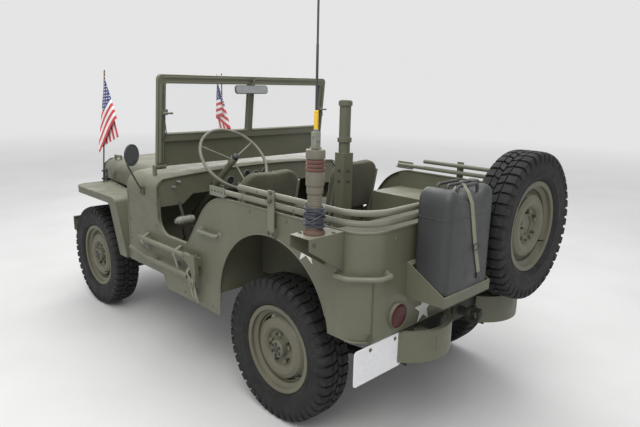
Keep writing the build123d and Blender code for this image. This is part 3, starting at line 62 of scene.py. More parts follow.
# Materials
class Tree:
    """Small helper for writing a node tree in few lines."""

    def __init__(self, name):
        self.material = bpy.data.materials.new(name)
        self.material.use_nodes = True
        self.tree = self.material.node_tree
        self.bsdf = self.tree.nodes["Principled BSDF"]
        self.coords = self.add("ShaderNodeTexCoord").outputs["Object"]

    def add(self, kind, **values):
        node = self.tree.nodes.new(kind)
        for key, value in values.items():
            setattr(node, key, value)
        return node

    def link(self, a, b):
        self.tree.links.new(a, b)

    def noise(self, scale, detail=4.0, rough=0.55, distortion=0.0):
        node = self.add("ShaderNodeTexNoise")
        node.inputs["Scale"].default_value = scale
        node.inputs["Detail"].default_value = detail
        node.inputs["Roughness"].default_value = rough
        node.inputs["Distortion"].default_value = distortion
        self.link(self.coords, node.inputs["Vector"])
        return node.outputs["Fac"]

    def ramp(self, source, stops):
        node = self.add("ShaderNodeValToRGB")
        ramp = node.color_ramp
        while len(ramp.elements) < len(stops):
            ramp.elements.new(0.5)
        for element, (place, colour) in zip(ramp.elements, stops):
            element.position = place
            if not hasattr(colour, "__len__"):
                colour = (colour,) * 3
            element.color = (*colour, 1.0)
        self.link(source, node.inputs["Fac"])
        return node.outputs["Color"]

    def mix(self, fac, a, b):
        node = self.add("ShaderNodeMix", data_type="RGBA")
        for socket, value in ((node.inputs[0], fac), (node.inputs[6], a), (node.inputs[7], b)):
            if hasattr(value, "links"):
                self.link(value, socket)
            elif hasattr(value, "__len__"):
                socket.default_value = (*value, 1.0)
            elif socket.type == "RGBA":
                socket.default_value = (value, value, value, 1.0)
            else:
                socket.default_value = value
        return node.outputs[2]

    def math(self, kind, a, b=0.0, clamp=False):
        node = self.add("ShaderNodeMath", operation=kind, use_clamp=clamp)
        for socket, value in ((node.inputs[0], a), (node.inputs[1], b)):
            if hasattr(value, "links"):
                self.link(value, socket)
            else:
                socket.default_value = value
        return node.outputs[0]

    def upward(self):
        """How far the surface faces up, 0 to 1."""
        geometry = self.add("ShaderNodeNewGeometry")
        split = self.add("ShaderNodeSeparateXYZ")
        self.link(geometry.outputs["Normal"], split.inputs[0])
        return self.math("MAXIMUM", split.outputs["Z"], 0.0)

    def bump(self, height, strength, distance=0.001, normal=None):
        node = self.add("ShaderNodeBump")
        node.inputs["Strength"].default_value = strength
        node.inputs["Distance"].default_value = distance
        self.link(height, node.inputs["Height"])
        if normal is not None:
            self.link(normal, node.inputs["Normal"])
        return node.outputs["Normal"]

    def round_edges(self, radius):
        node = self.add("ShaderNodeBevel", samples=4)
        node.inputs["Radius"].default_value = radius
        return node.outputs["Normal"]

    def done(self, colour, rough, normal=None, metallic=0.0, **extra):
        for name, value in (("Base Color", colour), ("Roughness", rough), ("Normal", normal)):
            if value is None:
                continue
            socket = self.bsdf.inputs[name]
            if hasattr(value, "links"):
                self.link(value, socket)
            elif hasattr(value, "__len__"):
                socket.default_value = (*value, 1.0)
            else:
                socket.default_value = value
        self.bsdf.inputs["Metallic"].default_value = metallic
        for name, value in extra.items():
            self.bsdf.inputs[name.replace("_", " ")].default_value = value
        return self.material


def paint(name, base, dusty, rough=0.55, chips=0.35, dust_and_sheen=0.35, edge=0.0025):
    """Matt vehicle paint, its upward faces lighter as dust and as painted sheen of the overhead
    lights, with scuffs and soft pressed edges.
    """
    t = Tree(name)
    broad = t.noise(2.2, 3.0)
    fine = t.noise(60.0, 5.0)
    shade = t.ramp(broad, [(0.3, [c * 0.86 for c in base]), (0.7, [c * 1.12 for c in base])])
    speckle = t.mix(t.ramp(fine, [(0.35, 0.0), (0.75, 0.25)]), shade, [c * 1.25 for c in base])
    # Upward faces are lightened toward dusty: partly real dust, partly a painted highlight standing
    # in for the sheen of the lights above.
    up = t.upward()
    dust_and_sheen_cover = t.math("MULTIPLY", t.math("POWER", up, 2.0), t.ramp(t.noise(7.0, 6.0),
        [(0.3, 0.25), (0.7, 1.0)]))
    dust_and_sheen_cover = t.math("MULTIPLY", dust_and_sheen_cover, dust_and_sheen)
    dust_and_sheen_colour = t.mix(dust_and_sheen_cover, speckle, dusty)
    scuffs = t.ramp(t.noise(34.0, 8.0, 0.7, distortion=1.2), [(0.66, 0.0), (0.72, chips)])
    colour = t.mix(scuffs, dust_and_sheen_colour, [c * 0.55 for c in base])
    roughness = t.ramp(t.noise(18.0, 6.0), [(0.3, rough - 0.1), (0.75, rough + 0.14)])
    normal = t.round_edges(edge) if edge else None
    normal = t.bump(t.noise(220.0, 3.0), 0.06, 0.0006, normal)
    normal = t.bump(t.noise(5.0, 2.0), 0.1, 0.006, normal)
    return t.done(colour, roughness, normal, Specular_IOR_Level=0.42)


OLIVE_BASE = (0.116, 0.117, 0.078)
# The olive's pale top tone is partly dust and partly a painted highlight: lighter tops standing in
# for the overhead lights' sheen.
OLIVE_DUST_AND_SHEEN = (0.35, 0.34, 0.265)
olive = paint("olive_paint", OLIVE_BASE, OLIVE_DUST_AND_SHEEN, rough=0.46, dust_and_sheen=0.55)
olive_dark = paint("olive_dark", (0.075, 0.073, 0.05), (0.2, 0.19, 0.14), rough=0.62)
chassis_black = paint("chassis_dark", (0.035, 0.035, 0.028), (0.12, 0.11, 0.085), rough=0.66,
    chips=0.5)
wheel_paint = paint("wheel_paint", (0.125, 0.12, 0.08), (0.26, 0.25, 0.18), rough=0.5)
can_paint = paint("can_paint", (0.038, 0.04, 0.039), (0.13, 0.13, 0.125), rough=0.42, chips=0.2,
    dust_and_sheen=0.22)
tube_paint = paint("tube_paint", (0.15, 0.152, 0.112), (0.33, 0.32, 0.25), rough=0.42, edge=0.0)


def rubber():
    t = Tree("tyre_rubber")
    base = t.ramp(t.noise(9.0, 5.0), [(0.3, (0.011, 0.011, 0.011)), (0.75, (0.024, 0.023, 0.022))])
    dusty = t.mix(t.ramp(t.noise(40.0, 6.0), [(0.55, 0.0), (0.8, 0.45)]), base,
        (0.07, 0.064, 0.054))
    normal = t.bump(t.noise(160.0, 5.0), 0.25, 0.0012)
    return t.done(dusty, t.ramp(t.noise(25.0), [(0.3, 0.62), (0.7, 0.82)]), normal,
        Specular_IOR_Level=0.3)


tyre_rubber = rubber()


def plain_metal(name, base, rough=0.4, metallic=0.9):
    t = Tree(name)
    worn = t.mix(t.ramp(t.noise(30.0, 6.0), [(0.4, 0.0), (0.8, 0.4)]), base,
        [c * 0.35 for c in base])
    return t.done(
        worn,
        t.ramp(t.noise(50.0, 4.0), [(0.3, rough - 0.1), (0.7, rough + 0.15)]),
        t.bump(t.noise(180.0, 3.0), 0.12, 0.0006),
        metallic=metallic,
    )


def canvas(name, base, thread=900.0):
    """Woven cotton: two crossed thread waves over faded cloth."""
    t = Tree(name)
    split = t.add("ShaderNodeSeparateXYZ")
    t.link(t.coords, split.inputs[0])
    waves = []
    for axes in (("X", "Z"), ("Y", "Z")):
        total = t.math("ADD", split.outputs[axes[0]], split.outputs[axes[1]])
        waves.append(t.math("SINE", t.math("MULTIPLY", total, thread)))
    weave = t.math("MULTIPLY", waves[0], waves[1])
    faded = t.ramp(t.noise(6.0, 5.0), [(0.3, [c * 0.78 for c in base]),
        (0.72, [c * 1.16 for c in base])])
    grimy = t.mix(t.ramp(t.noise(22.0, 6.0), [(0.58, 0.0), (0.85, 0.5)]), faded,
        [c * 0.5 for c in base])
    threads = t.mix(t.math("MULTIPLY", weave, 0.12, True), grimy, [c * 1.4 for c in base])
    normal = t.bump(weave, 0.22, 0.0004)
    normal = t.bump(t.noise(35.0, 4.0), 0.2, 0.002, normal)
    return t.done(threads, 0.9, normal, Sheen_Weight=0.25, Sheen_Roughness=0.5,
        Specular_IOR_Level=0.2)


def smooth_plastic(name, base, rough=0.4, vary=0.2):
    t = Tree(name)
    colour = t.ramp(t.noise(14.0, 5.0), [(0.3, [c * (1 - vary) for c in base]),
        (0.7, [c * (1 + vary) for c in base])])
    return t.done(colour, t.ramp(t.noise(40.0, 4.0), [(0.3, rough - 0.08), (0.7, rough + 0.12)]),
        t.bump(t.noise(140.0, 3.0), 0.08, 0.0006))


def clear_glass(name):
    t = Tree(name)
    smear = t.ramp(t.noise(5.0, 6.0), [(0.4, 0.3), (0.8, 0.42)])
    return t.done((0.55, 0.58, 0.57), smear, Specular_IOR_Level=0.3, Alpha=0.045)


def lens(name, base, rough=0.12):
    t = Tree(name)
    wave = t.add("ShaderNodeTexWave", wave_type="BANDS", bands_direction="Y")
    wave.inputs["Scale"].default_value = 60.0
    t.link(t.coords, wave.inputs["Vector"])
    colour = t.ramp(wave.outputs["Fac"], [(0.0, [c * 0.75 for c in base]), (1.0, base)])
    return t.done(colour, rough, t.bump(wave.outputs["Fac"], 0.25, 0.0012), Specular_IOR_Level=0.35)


# The seat cloth is its own dark olive, darkened further as painted shade over the seats.
seat_canvas_painted_shade = canvas("seat_canvas_painted_shade", (0.082, 0.079, 0.048))
webbing = canvas("webbing_green", (0.2, 0.205, 0.14), thread=1600.0)
rim_plastic = smooth_plastic("rim_plastic", (0.15, 0.148, 0.112), 0.4)
black_bakelite = smooth_plastic("black_bakelite", (0.02, 0.02, 0.02), 0.3)
bare_steel = plain_metal("bare_steel", (0.42, 0.41, 0.39), 0.38)
dial_metal = plain_metal("dial_metal", (0.26, 0.26, 0.24), 0.42, metallic=0.6)
dark_steel = plain_metal("dark_steel", (0.075, 0.073, 0.07), 0.5, metallic=0.6)
brown_insulator = smooth_plastic("brown_insulator", (0.138, 0.124, 0.092), 0.5, 0.12)
red_insulator = smooth_plastic("red_insulator", (0.14, 0.058, 0.04), 0.45)
coil_wire = smooth_plastic("coil_wire", (0.045, 0.048, 0.06), 0.36)
yellow_tape = smooth_plastic("yellow_tape", (0.78, 0.5, 0.02), 0.45, 0.08)
glass = clear_glass("windshield_glass")
red_lens = lens("red_lens", (0.06, 0.0045, 0.005), 0.3)
clear_lens = lens("clear_lens", (0.36, 0.375, 0.37), 0.08)
white_paint = paint("white_paint", (0.62, 0.61, 0.57), (0.5, 0.48, 0.42), chips=0.25, dust_and_sheen=0.15,
    edge=0.0)
white_enamel = smooth_plastic("white_enamel", (0.74, 0.74, 0.74), 0.3, 0.04)
mirror_glass = plain_metal("mirror_glass", (0.36, 0.37, 0.38), 0.1, metallic=0.9)
dark_mirror = smooth_plastic("dark_mirror", (0.02, 0.022, 0.022), 0.08, 0.1)
rusty = smooth_plastic("rust_brown", (0.105, 0.062, 0.042), 0.75, 0.35)
black_steel = smooth_plastic("black_steel", (0.03, 0.03, 0.032), 0.4, 0.25)
clamp_paint = paint("clamp_paint", (0.2, 0.205, 0.165), (0.3, 0.29, 0.23), rough=0.5, edge=0.0)

for material, names in (
    (olive, "tub dash_panel fender_left fender_right hood grille front_bumper "
        "rear_bumperettes windshield_frame rear_carriers aerial_shelf "
        "pedestal steering_column hand_tools lamps"),
    (olive_dark, "mirror controls"),
    (chassis_black, "tow_hook frame front_axle rear_axle knuckle_left knuckle_right "
        "tie_rod leaf_springs power_unit exhaust"),
    (tube_paint, "seat_frames top_bows grab_handles"),
    (seat_canvas_painted_shade, "seat_cushions"),
    (dark_steel, "flag_staffs"),
    (white_paint, "flags"),
    (can_paint, "fuel_can"),
    (brown_insulator, "aerial"),
    (rim_plastic, "steering_wheel"),
    (glass, "windshield_glass"),
    (wheel_paint, "wheel_fl wheel_fr wheel_rl wheel_rr spare_wheel"),
    (tyre_rubber, "tyre_fl tyre_fr tyre_rl tyre_rr spare_tyre"),
):
    for name in names.split():
        nodes[name].data.materials.clear()
        nodes[name].data.materials.append(material)


def vec(x, y, z):
    return Vector((x, y, z))


def linked(name, data):
    """A new object in the scene."""
    obj = bpy.data.objects.new(name, data)
    bpy.context.scene.collection.objects.link(obj)
    return obj


def new_mesh(name, verts, faces):
    mesh = bpy.data.meshes.new(name)
    mesh.from_pydata([tuple(v) for v in verts], [], faces)
    return mesh


# Stage
BACKDROP = (0.78, 0.78, 0.785)
# The photograph's camera, fitted to its wheels: place in metres, yaw, pitch and roll in radians
CAMERA_PLACE = (-2.9612, 2.3277, 1.64)
CAMERA_TURN = (-0.780194, -0.22893, -0.0214487)
FOCAL_PIXELS = 564.825
PICTURE_WIDTH = 640.0
SENSOR = 36.0


def background_rays(tree):
    """1 for the rays that show the background: from the camera, off gloss and through glass."""
    path = tree.nodes.new("ShaderNodeLightPath")
    last = path.outputs["Is Camera Ray"]
    for name in ("Is Glossy Ray", "Is Transmission Ray"):
        node = tree.nodes.new("ShaderNodeMath")
        node.operation = "MAXIMUM"
        tree.links.new(last, node.inputs[0])
        tree.links.new(path.outputs[name], node.inputs[1])
        last = node.outputs[0]
    return last


def stage():
    """Pale floor, soft light from above, and the camera at the photograph's place."""
    corners = [(-60, -60, 0), (60, -60, 0), (60, 60, 0), (-60, 60, 0)]
    mesh = new_mesh("floor", corners, [(0, 1, 2, 3)])
    floor = linked("floor", mesh)
    t = Tree("floor_pale")
    cloudy = t.ramp(t.noise(0.9, 5.0), [(0.3, (0.66, 0.65, 0.63)), (0.7, (0.74, 0.73, 0.71))])
    mesh.materials.append(t.done(cloudy, 0.65, None))
    length = t.add("ShaderNodeVectorMath", operation="LENGTH")
    t.link(t.coords, length.inputs[0])
    far = t.ramp(t.math("DIVIDE", length.outputs["Value"], 20.0), [(0.18, 0.0), (0.75, 1.0)])
    seen = background_rays(t.tree)
    glow = t.add("ShaderNodeEmission")
    glow.inputs["Color"].default_value = (*BACKDROP, 1.0)
    blend = t.add("ShaderNodeMixShader")
    t.link(t.math("MULTIPLY", far, seen), blend.inputs[0])
    t.link(t.bsdf.outputs[0], blend.inputs[1])
    t.link(glow.outputs[0], blend.inputs[2])
    t.link(blend.outputs[0], t.tree.nodes["Material Output"].inputs["Surface"])

    world = bpy.data.worlds.new("studio")
    bpy.context.scene.world = world
    world.use_nodes = True
    tree = world.node_tree
    light = tree.nodes["Background"]
    light.inputs["Color"].default_value = (0.93, 0.95, 1.0, 1.0)
    light.inputs["Strength"].default_value = 0.68
    seen = tree.nodes.new("ShaderNodeBackground")
    seen.inputs["Color"].default_value = (*BACKDROP, 1.0)
    blend = tree.nodes.new("ShaderNodeMixShader")
    tree.links.new(background_rays(tree), blend.inputs[0])
    tree.links.new(light.outputs[0], blend.inputs[1])
    tree.links.new(seen.outputs[0], blend.inputs[2])
    tree.links.new(blend.outputs[0], tree.nodes["World Output"].inputs["Surface"])

    # Name, place, aim, size, power
    for name, place, aim, size, power in (
        ("key", (-2.6, 3.4, 5.2), (0.0, 0.2, 0.6), 4.0, 190.0),
        ("top", (0.3, -0.6, 5.6), (0.0, 0.0, 0.5), 4.5, 150.0),
        ("rim", (3.8, -3.6, 3.8), (0.0, 0.0, 0.8), 3.0, 80.0),
    ):
        data = bpy.data.lights.new(name, "AREA")
        data.energy = power
        data.size = size
        light = linked(name, data)
        light.location = place
        light.rotation_euler = (Vector(aim) - Vector(place)).to_track_quat("-Z", "Y").to_euler()

    yaw, pitch, roll = CAMERA_TURN
    ahead = vec(cos(pitch) * cos(yaw), cos(pitch) * sin(yaw), sin(pitch))
    right = ahead.cross(vec(0, 0, 1)).normalized()
    down = ahead.cross(right)
    c, s = cos(roll), sin(roll)
    x_axis = c * right + s * down
    y_axis = -(-s * right + c * down)
    turn = Matrix((x_axis, y_axis, -ahead)).transposed().to_4x4()
    data = bpy.data.cameras.new("camera")
    data.sensor_width = SENSOR
    data.lens = FOCAL_PIXELS / PICTURE_WIDTH * SENSOR
    camera = linked("camera", data)
    camera.matrix_world = Matrix.Translation(CAMERA_PLACE) @ turn
    bpy.context.scene.camera = camera
    bpy.context.scene.view_settings.view_transform = "Standard"


stage()


# Mesh helpers: each *_parts function gives vertices and faces
def place(name, verts, faces, material, body, smooth=30.0, bevel=0.0, segments=2):
    """Makes a mesh piece that rides on a body."""
    mesh = new_mesh(name, verts, faces)
    bm = bmesh.new()
    bm.from_mesh(mesh)
    bmesh.ops.remove_doubles(bm, verts=bm.verts, dist=1e-6)
    bmesh.ops.recalc_face_normals(bm, faces=bm.faces)
    bm.to_mesh(mesh)
    bm.free()
    mesh.materials.append(material)
    obj = linked(name, mesh)
    if bevel:
        modifier = obj.modifiers.new("edge", "BEVEL")
        modifier.width = bevel
        modifier.segments = segments
        modifier.limit_method = "ANGLE"
        modifier.angle_limit = radians(35)
        modifier.harden_normals = True
    if smooth:
        for polygon in mesh.polygons:
            polygon.use_smooth = True
        mesh.set_sharp_from_angle(angle=radians(smooth))
    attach(obj, body)
    return obj


def frame_of(axis):
    """Two unit vectors square to an axis."""
    axis = Vector(axis).normalized()
    side = vec(0, 0, 1) if abs(axis.z) < 0.9 else vec(1, 0, 0)
    u = axis.cross(side).normalized()
    return u, axis.cross(u)


def lathe_parts(profile, centre, axis, steps=48):
    """Vertices and faces of a profile of (radius, distance along axis) turned about the axis."""
    axis = Vector(axis).normalized()
    u, v = frame_of(axis)
    verts = []
    for radius, along in profile:
        for k in range(steps):
            a = tau * k / steps
            verts.append(Vector(centre) + axis * along + (u * cos(a) + v * sin(a)) * radius)
    faces = []
    for ring in range(len(profile) - 1):
        for k in range(steps):
            a, b = ring * steps + k, ring * steps + (k + 1) % steps
            faces.append((a, b, b + steps, a + steps))
    return verts, faces


def lathe(name, profile, centre, axis, material, steps=48, smooth=30.0, body="chassis"):
    """One turned piece."""
    return Parts([lathe_parts(profile, centre, axis, steps)]).make(name, material, smooth,
        body=body)


def rounded(points, radius, steps=6):
    """Points of a run of straight lines with arcs at its corners."""
    points = [Vector(p) for p in points]
    radii = radius if hasattr(radius, "__len__") else [radius] * (len(points) - 2)
    out = [points[0]]
    for before, corner, after, r in zip(points, points[1:], points[2:], radii):
        a, b = (before - corner).normalized(), (after - corner).normalized()
        angle = a.angle(b)
        if angle > pi - 0.01 or r <= 0:
            out.append(corner)
            continue
        cut = min(r / tan(angle / 2), (before - corner).length * 0.499,
            (after - corner).length * 0.499)
        middle = corner + (a + b).normalized() * (cut / cos(angle / 2))
        arm_a, arm_b = corner + a * cut - middle, corner + b * cut - middle
        for k in range(steps + 1):
            f = k / steps
            out.append(middle + arm_a.normalized().slerp(arm_b.normalized(), f) * arm_a.length)
    out.append(points[-1])
    return out


def tube_parts(points, radius, sides=12, caps=True):
    """Vertices and faces of a round tube along points; radius is a number or one for each point."""
    count = len(points)
    radii = radius if hasattr(radius, "__len__") else [radius] * count
    verts, faces = [], []
    u = None
    for i, (point, r) in enumerate(zip(points, radii)):
        ahead = (Vector(points[min(i + 1, count - 1)]) - Vector(points[max(i - 1, 0)])).normalized()
        if u is None:
            u, v = frame_of(ahead)
        else:
            u = (u - ahead * u.dot(ahead)).normalized()
            v = ahead.cross(u)
        for k in range(sides):
            a = tau * k / sides
            verts.append(Vector(point) + (u * cos(a) + v * sin(a)) * r)
    for i in range(count - 1):
        for k in range(sides):
            a, b = i * sides + k, i * sides + (k + 1) % sides
            faces.append((a, b, b + sides, a + sides))
    if caps:
        faces.append(tuple(range(sides))[::-1])
        faces.append(tuple(range((count - 1) * sides, count * sides)))
    return verts, faces


def mm(*rows):
    """Rows given in millimetres, as metres."""
    return [tuple(round(value / 1000, 8) for value in row) for row in rows]


def at(x, y, z):
    """A point whose x is measured from the rear axle."""
    return Vector((REAR + x, y, z))


def joined(parts):
    """Several (vertices, faces) as one."""
    verts, faces = [], []
    for v, f in parts:
        start = len(verts)
        verts.extend(v)
        faces.extend(tuple(i + start for i in face) for face in f)
    return verts, faces


def box_parts(low, high):
    """A block from its low corner to its high one."""
    corners = [vec(x, y, z) for x in (low[0], high[0]) for y in (low[1], high[1])
        for z in (low[2], high[2])]
    faces = [(0, 1, 3, 2), (4, 6, 7, 5), (0, 4, 5, 1), (2, 3, 7, 6), (0, 2, 6, 4), (1, 5, 7, 3)]
    return corners, faces


def slab_parts(outline, origin, u, v, thickness):
    """A flat outline in the u, v plane given thickness along u cross v, centred on the plane."""
    origin, u, v = Vector(origin), Vector(u).normalized(), Vector(v).normalized()
    n = u.cross(v)
    count = len(outline)
    verts = [origin + u * a + v * b - n * thickness / 2 for a, b in outline]
    verts += [p + n * thickness for p in verts]
    faces = [tuple(range(count))[::-1], tuple(range(count, 2 * count))]
    faces += [(i, (i + 1) % count, (i + 1) % count + count, i + count) for i in range(count)]
    return verts, faces


def strip_parts(path, across, thickness):
    """A flat band along a path: across is its width as a vector, thickness is square to it."""
    across = Vector(across)
    verts, faces = [], []
    for i, point in enumerate(path):
        ahead = (Vector(path[min(i + 1, len(path) - 1)]) - Vector(path[max(i - 1, 0)])).normalized()
        n = ahead.cross(across.normalized()) * thickness / 2
        p = Vector(point)
        verts += [p - n, p + n, p + across + n, p + across - n]
    for i in range(len(path) - 1):
        for k in range(4):
            a, b = i * 4 + k, i * 4 + (k + 1) % 4
            faces.append((a, b, b + 4, a + 4))
    faces += [(3, 2, 1, 0), tuple(range(len(verts) - 4, len(verts)))]
    return verts, faces


def star_parts(centre, u, v, radius, lift):
    """Five-pointed star on the u, v plane, its first point along v."""
    u, v = Vector(u), Vector(v)
    outline = []
    for k in range(10):
        r = radius if k % 2 == 0 else radius * 0.382
        a = tau * k / 10
        outline.append((r * sin(a), r * cos(a)))
    return slab_parts(outline, Vector(centre), u, v, lift)


def bolt_parts(centre, axis, across=0.012, height=0.006, washer=True):
    """Hexagon head with a washer under it."""
    parts = Parts([lathe_parts([(0, height), (across * 0.5, height), (across * 0.56, height * 0.75),
        (across * 0.56, 0)], centre, axis, 6)])
    if washer:
        parts.lathe([(across * 0.3, 0.0018), (across * 0.85, 0.0018), (across * 0.85, 0)], centre,
            axis, 14)
    return joined(parts)


class Parts(list):
    """The shells of one piece: each method adds one, and make joins them in one mesh."""

    def make(self, name, material, smooth=35.0, bevel=0.0, segments=2, body="chassis"):
        return place(name, *joined(self), material, body, smooth, bevel, segments)

    def bolt(self, *shape):
        self.append(bolt_parts(*shape))

    def box(self, *shape):
        self.append(box_parts(*shape))

    def lathe(self, *shape):
        self.append(lathe_parts(*shape))

    def slab(self, *shape):
        self.append(slab_parts(*shape))

    def strip(self, *shape):
        self.append(strip_parts(*shape))

    def tube(self, *shape):
        self.append(tube_parts(*shape))


# Tyres: a round carcass with staggered tread bars, the same for every wheel
WHEEL_Y = 0.6225
TYRE_RADIUS = 0.362
PITCHES = 44
WHEELS = {
    # Corner: axle x, side, body
    "fl": (FRONT, 1, "wheel_front_left"),
    "fr": (FRONT, -1, "wheel_front_right"),
    "rl": (REAR, 1, "wheel_rear_left"),
    "rr": (REAR, -1, "wheel_rear_right"),
}
SPARE = at(-0.725, -0.265, 0.981)
# Radius, distance outboard: one side of the carcass, bead to crown
CARCASS = mm((203, 56), (222.5, 57.5), (226.5, 66), (238, 74.5), (244, 76.8), (247, 79.2),
    (251, 79.6), (253, 78.8), (270, 81.2), (288, 82.2), (308, 81.2), (325, 79), (338, 75.5),
    (345, 70.5), (348.5, 64), (350.5, 30), (350.5, 0))
# Distance outboard and radius of a bar's top, the same of its root, first and last edge in pitches
OUTER_BAR = [
    (0.0345, 0.3614, 0.0345, 0.347, 0.1, 0.84),
    (0.045, 0.3614, 0.045, 0.347, 0.04, 0.8),
    (0.062, 0.36, 0.062, 0.346, 0.06, 0.8),
    (0.076, 0.3555, 0.07, 0.343, 0.09, 0.79),
    (0.0836, 0.344, 0.075, 0.337, 0.12, 0.77),
    (0.084, 0.327, 0.078, 0.324, 0.17, 0.72),
    (0.0828, 0.308, 0.08, 0.307, 0.22, 0.67),
]
INNER_BLOCK = [
    (0.0025, 0.3618, 0.0025, 0.348, 0.34, 1.04),
    (0.016, 0.3618, 0.016, 0.348, 0.16, 0.92),
    (0.03, 0.3616, 0.03, 0.348, 0.02, 0.72),
]


def tyre_parts(centre, axis):
    """Vertices and faces of one tyre about an axis that points outboard."""
    section = CARCASS + [(r, -y) for r, y in reversed(CARCASS[:-1])]
    parts = Parts([lathe_parts(section + section[:1], centre, axis, 132)])
    axis = Vector(axis)
    u, v = frame_of(axis)
    pitch = tau / PITCHES
    for side, phase in ((1, 0.0), (-1, 0.5)):
        for step in range(PITCHES):
            for rows in (OUTER_BAR, INNER_BLOCK):
                verts, faces = [], []
                for top_y, top_r, root_y, root_r, low, high in rows:
                    for y, r, spot in (
                        (root_y, root_r, low - 0.05),
                        (top_y, top_r, low),
                        (top_y, top_r, high),
                        (root_y, root_r, high + 0.05),
                    ):
                        a = (step + phase + spot) * pitch
                        verts.append(Vector(centre) + axis * y * side + (u * cos(a) + v * sin(a))
                            * r)
                for row in range(len(rows) - 1):
                    for k in range(4):
                        a, b = row * 4 + k, row * 4 + (k + 1) % 4
                        faces.append((a, b, b + 4, a + 4))
                faces.append((3, 2, 1, 0))
                faces.append(tuple(range(len(rows) * 4 - 4, len(rows) * 4)))
                parts.append((verts, faces))
    return joined(parts)


def tyre(name, node, centre, axis, body):
    piece = place(name, *tyre_parts(centre, axis), tyre_rubber, body, 32, 0.001, 1)
    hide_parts(node)


def wheel_details(name, centre, axis, body, road_wheel):
    """Stud ends, lock washers, hub bolts and the valve stem."""
    axis = Vector(axis)
    centre = Vector(centre)
    u, v = frame_of(axis)
    parts = Parts()
    for k in range(5):
        a = tau * k / 5
        spot = centre + (u * cos(a) + v * sin(a)) * 0.07
        parts.lathe(mm((0, 49), (5, 48.5), (5.6, 47), (5.6, 30)), spot, axis, 12)
        parts.lathe(mm((0, 27.5), (16.5, 27), (18, 25), (18, 20)), spot, axis, 20)
    if road_wheel:
        for k in range(6):
            a = tau * (k + 0.5) / 6
            spot = centre + (u * cos(a) + v * sin(a)) * 0.029 + axis * 0.064
            parts.bolt(spot, axis, 0.01, 0.006)
        parts.lathe(mm((0, 71), (12, 70), (16, 66.5), (16, 60)), centre, axis, 24)
    foot = centre + (u * cos(2.5) + v * sin(2.5)) * 0.172
    tip = centre + (u * cos(2.5) + v * sin(2.5)) * 0.158 + axis * 0.062
    stem = [foot + axis * 0.016, (foot + tip) / 2 + axis * 0.01, tip,
        tip + (tip - foot).normalized() * 0.01]
    parts.tube(stem, [0.0042, 0.0042, 0.0034, 0.0042], 10)
    parts.make(name, dark_steel, 30, body=body)


for corner, (x, side, body) in WHEELS.items():
    centre = vec(x, side * WHEEL_Y, TYRE_RADIUS)
    tyre("tread_" + corner, "tyre_" + corner, centre, (0, side, 0), body)
    wheel_details("hub_bolts_" + corner, centre, (0, side, 0), body, True)
tyre("tread_spare", "spare_tyre", SPARE, BACK, "chassis")
wheel_details("spare_bolts", SPARE, BACK, "chassis", False)


# Padded seats: each pad swells as cloth under pressure and is piped round its faces
PAD_VOXEL = 0.007
PAD_PRESSURE = 4.0
PAD_STEPS = 18
PIPING_INSET = 0.006


def swelled(name, outline, thickness, turn, swell):
    """A padded piece: its outline is in its own x, y plane, and turn sets it in place."""
    inset = PIPING_INSET
    verts, faces = slab_parts(outline, (0, 0, 0), (1, 0, 0), (0, 1, 0), thickness - 2 * inset)
    mesh = new_mesh(name, verts, faces)
    bm = bmesh.new()
    bm.from_mesh(mesh)
    bmesh.ops.recalc_face_normals(bm, faces=bm.faces)
    sharp = [e for e in bm.edges if e.calc_face_angle(0.0) > 1.0]
    bmesh.ops.bevel(bm, geom=sharp, offset=0.01, segments=3, affect="EDGES", profile=0.5)
    bm.to_mesh(mesh)
    bm.free()
    obj = linked(name, mesh)
    remesh = obj.modifiers.new("remesh", "REMESH")
    remesh.mode = "VOXEL"
    remesh.voxel_size = PAD_VOXEL
    graph = bpy.context.evaluated_depsgraph_get()
    fine = bpy.data.meshes.new_from_object(obj.evaluated_get(graph))
    obj.modifiers.clear()
    obj.data = fine
    rest = [v.co.copy() for v in fine.vertices]
    cloth = obj.modifiers.new("cloth", "CLOTH")
    cloth.settings.use_pressure = True
    cloth.settings.uniform_pressure_force = PAD_PRESSURE
    cloth.settings.effector_weights.gravity = 0.0
    for step in range(1, PAD_STEPS + 1):
        bpy.context.scene.frame_set(step)
    graph = bpy.context.evaluated_depsgraph_get()
    moved = [v.co.copy() for v in obj.evaluated_get(graph).data.vertices]
    obj.modifiers.clear()
    bpy.context.scene.frame_set(1)
    shifts = [end - start for start, end in zip(rest, moved)]
    longest = max(s.length for s in shifts)
    for vertex, start, shift in zip(fine.vertices, rest, shifts):
        vertex.co = start + shift * min(1.0, swell / longest)
    tree = KDTree(len(fine.vertices))
    for i, vertex in enumerate(fine.vertices):
        tree.insert(vertex.co, i)
    tree.balance()
    bm = bmesh.new()
    bm.from_mesh(fine)
    for face in (1, -1):
        path = rounded([(u, v, face * (thickness / 2 - inset)) for u, v in outline + outline[:2]],
            0.012, 3)[1:-1]
        path = [tree.find(p)[0] for p in path + path[:1]]
        path = [(a + b + c) / 3 for a, b, c in zip(path[-2:-1] + path, path, path[1:] + path[1:2])]
        verts, faces = tube_parts(path, 0.0042, 8, False)
        made = [bm.verts.new(v) for v in verts]
        for f in faces:
            bm.faces.new([made[i] for i in f])
    bm.to_mesh(fine)
    bm.free()
    fine.transform(turn)
    fine.materials.clear()
    fine.materials.append(seat_canvas_painted_shade)
    for polygon in fine.polygons:
        polygon.use_smooth = True
    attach(obj, "chassis")
    return obj


def plate_outline(low, high, corner, count=7):
    """Rectangle from (x, y) to (x, y), its corners rounded by one radius or one for each corner."""
    radii = corner if hasattr(corner, "__len__") else [corner] * 4
    out = []
    for (x, sx), (y, sy), start, r in (
        ((low[0], 1), (low[1], 1), pi, radii[0]),
        ((high[0], -1), (low[1], 1), 1.5 * pi, radii[1]),
        ((high[0], -1), (high[1], -1), 0.0, radii[2]),
        ((low[0], 1), (high[1], -1), 0.5 * pi, radii[3]),
    ):
        for k in range(count + 1 if r else 1):
            a = start + pi / 2 * k / count
            out.append((x + sx * r + r * cos(a), y + sy * r + r * sin(a)))
    return out


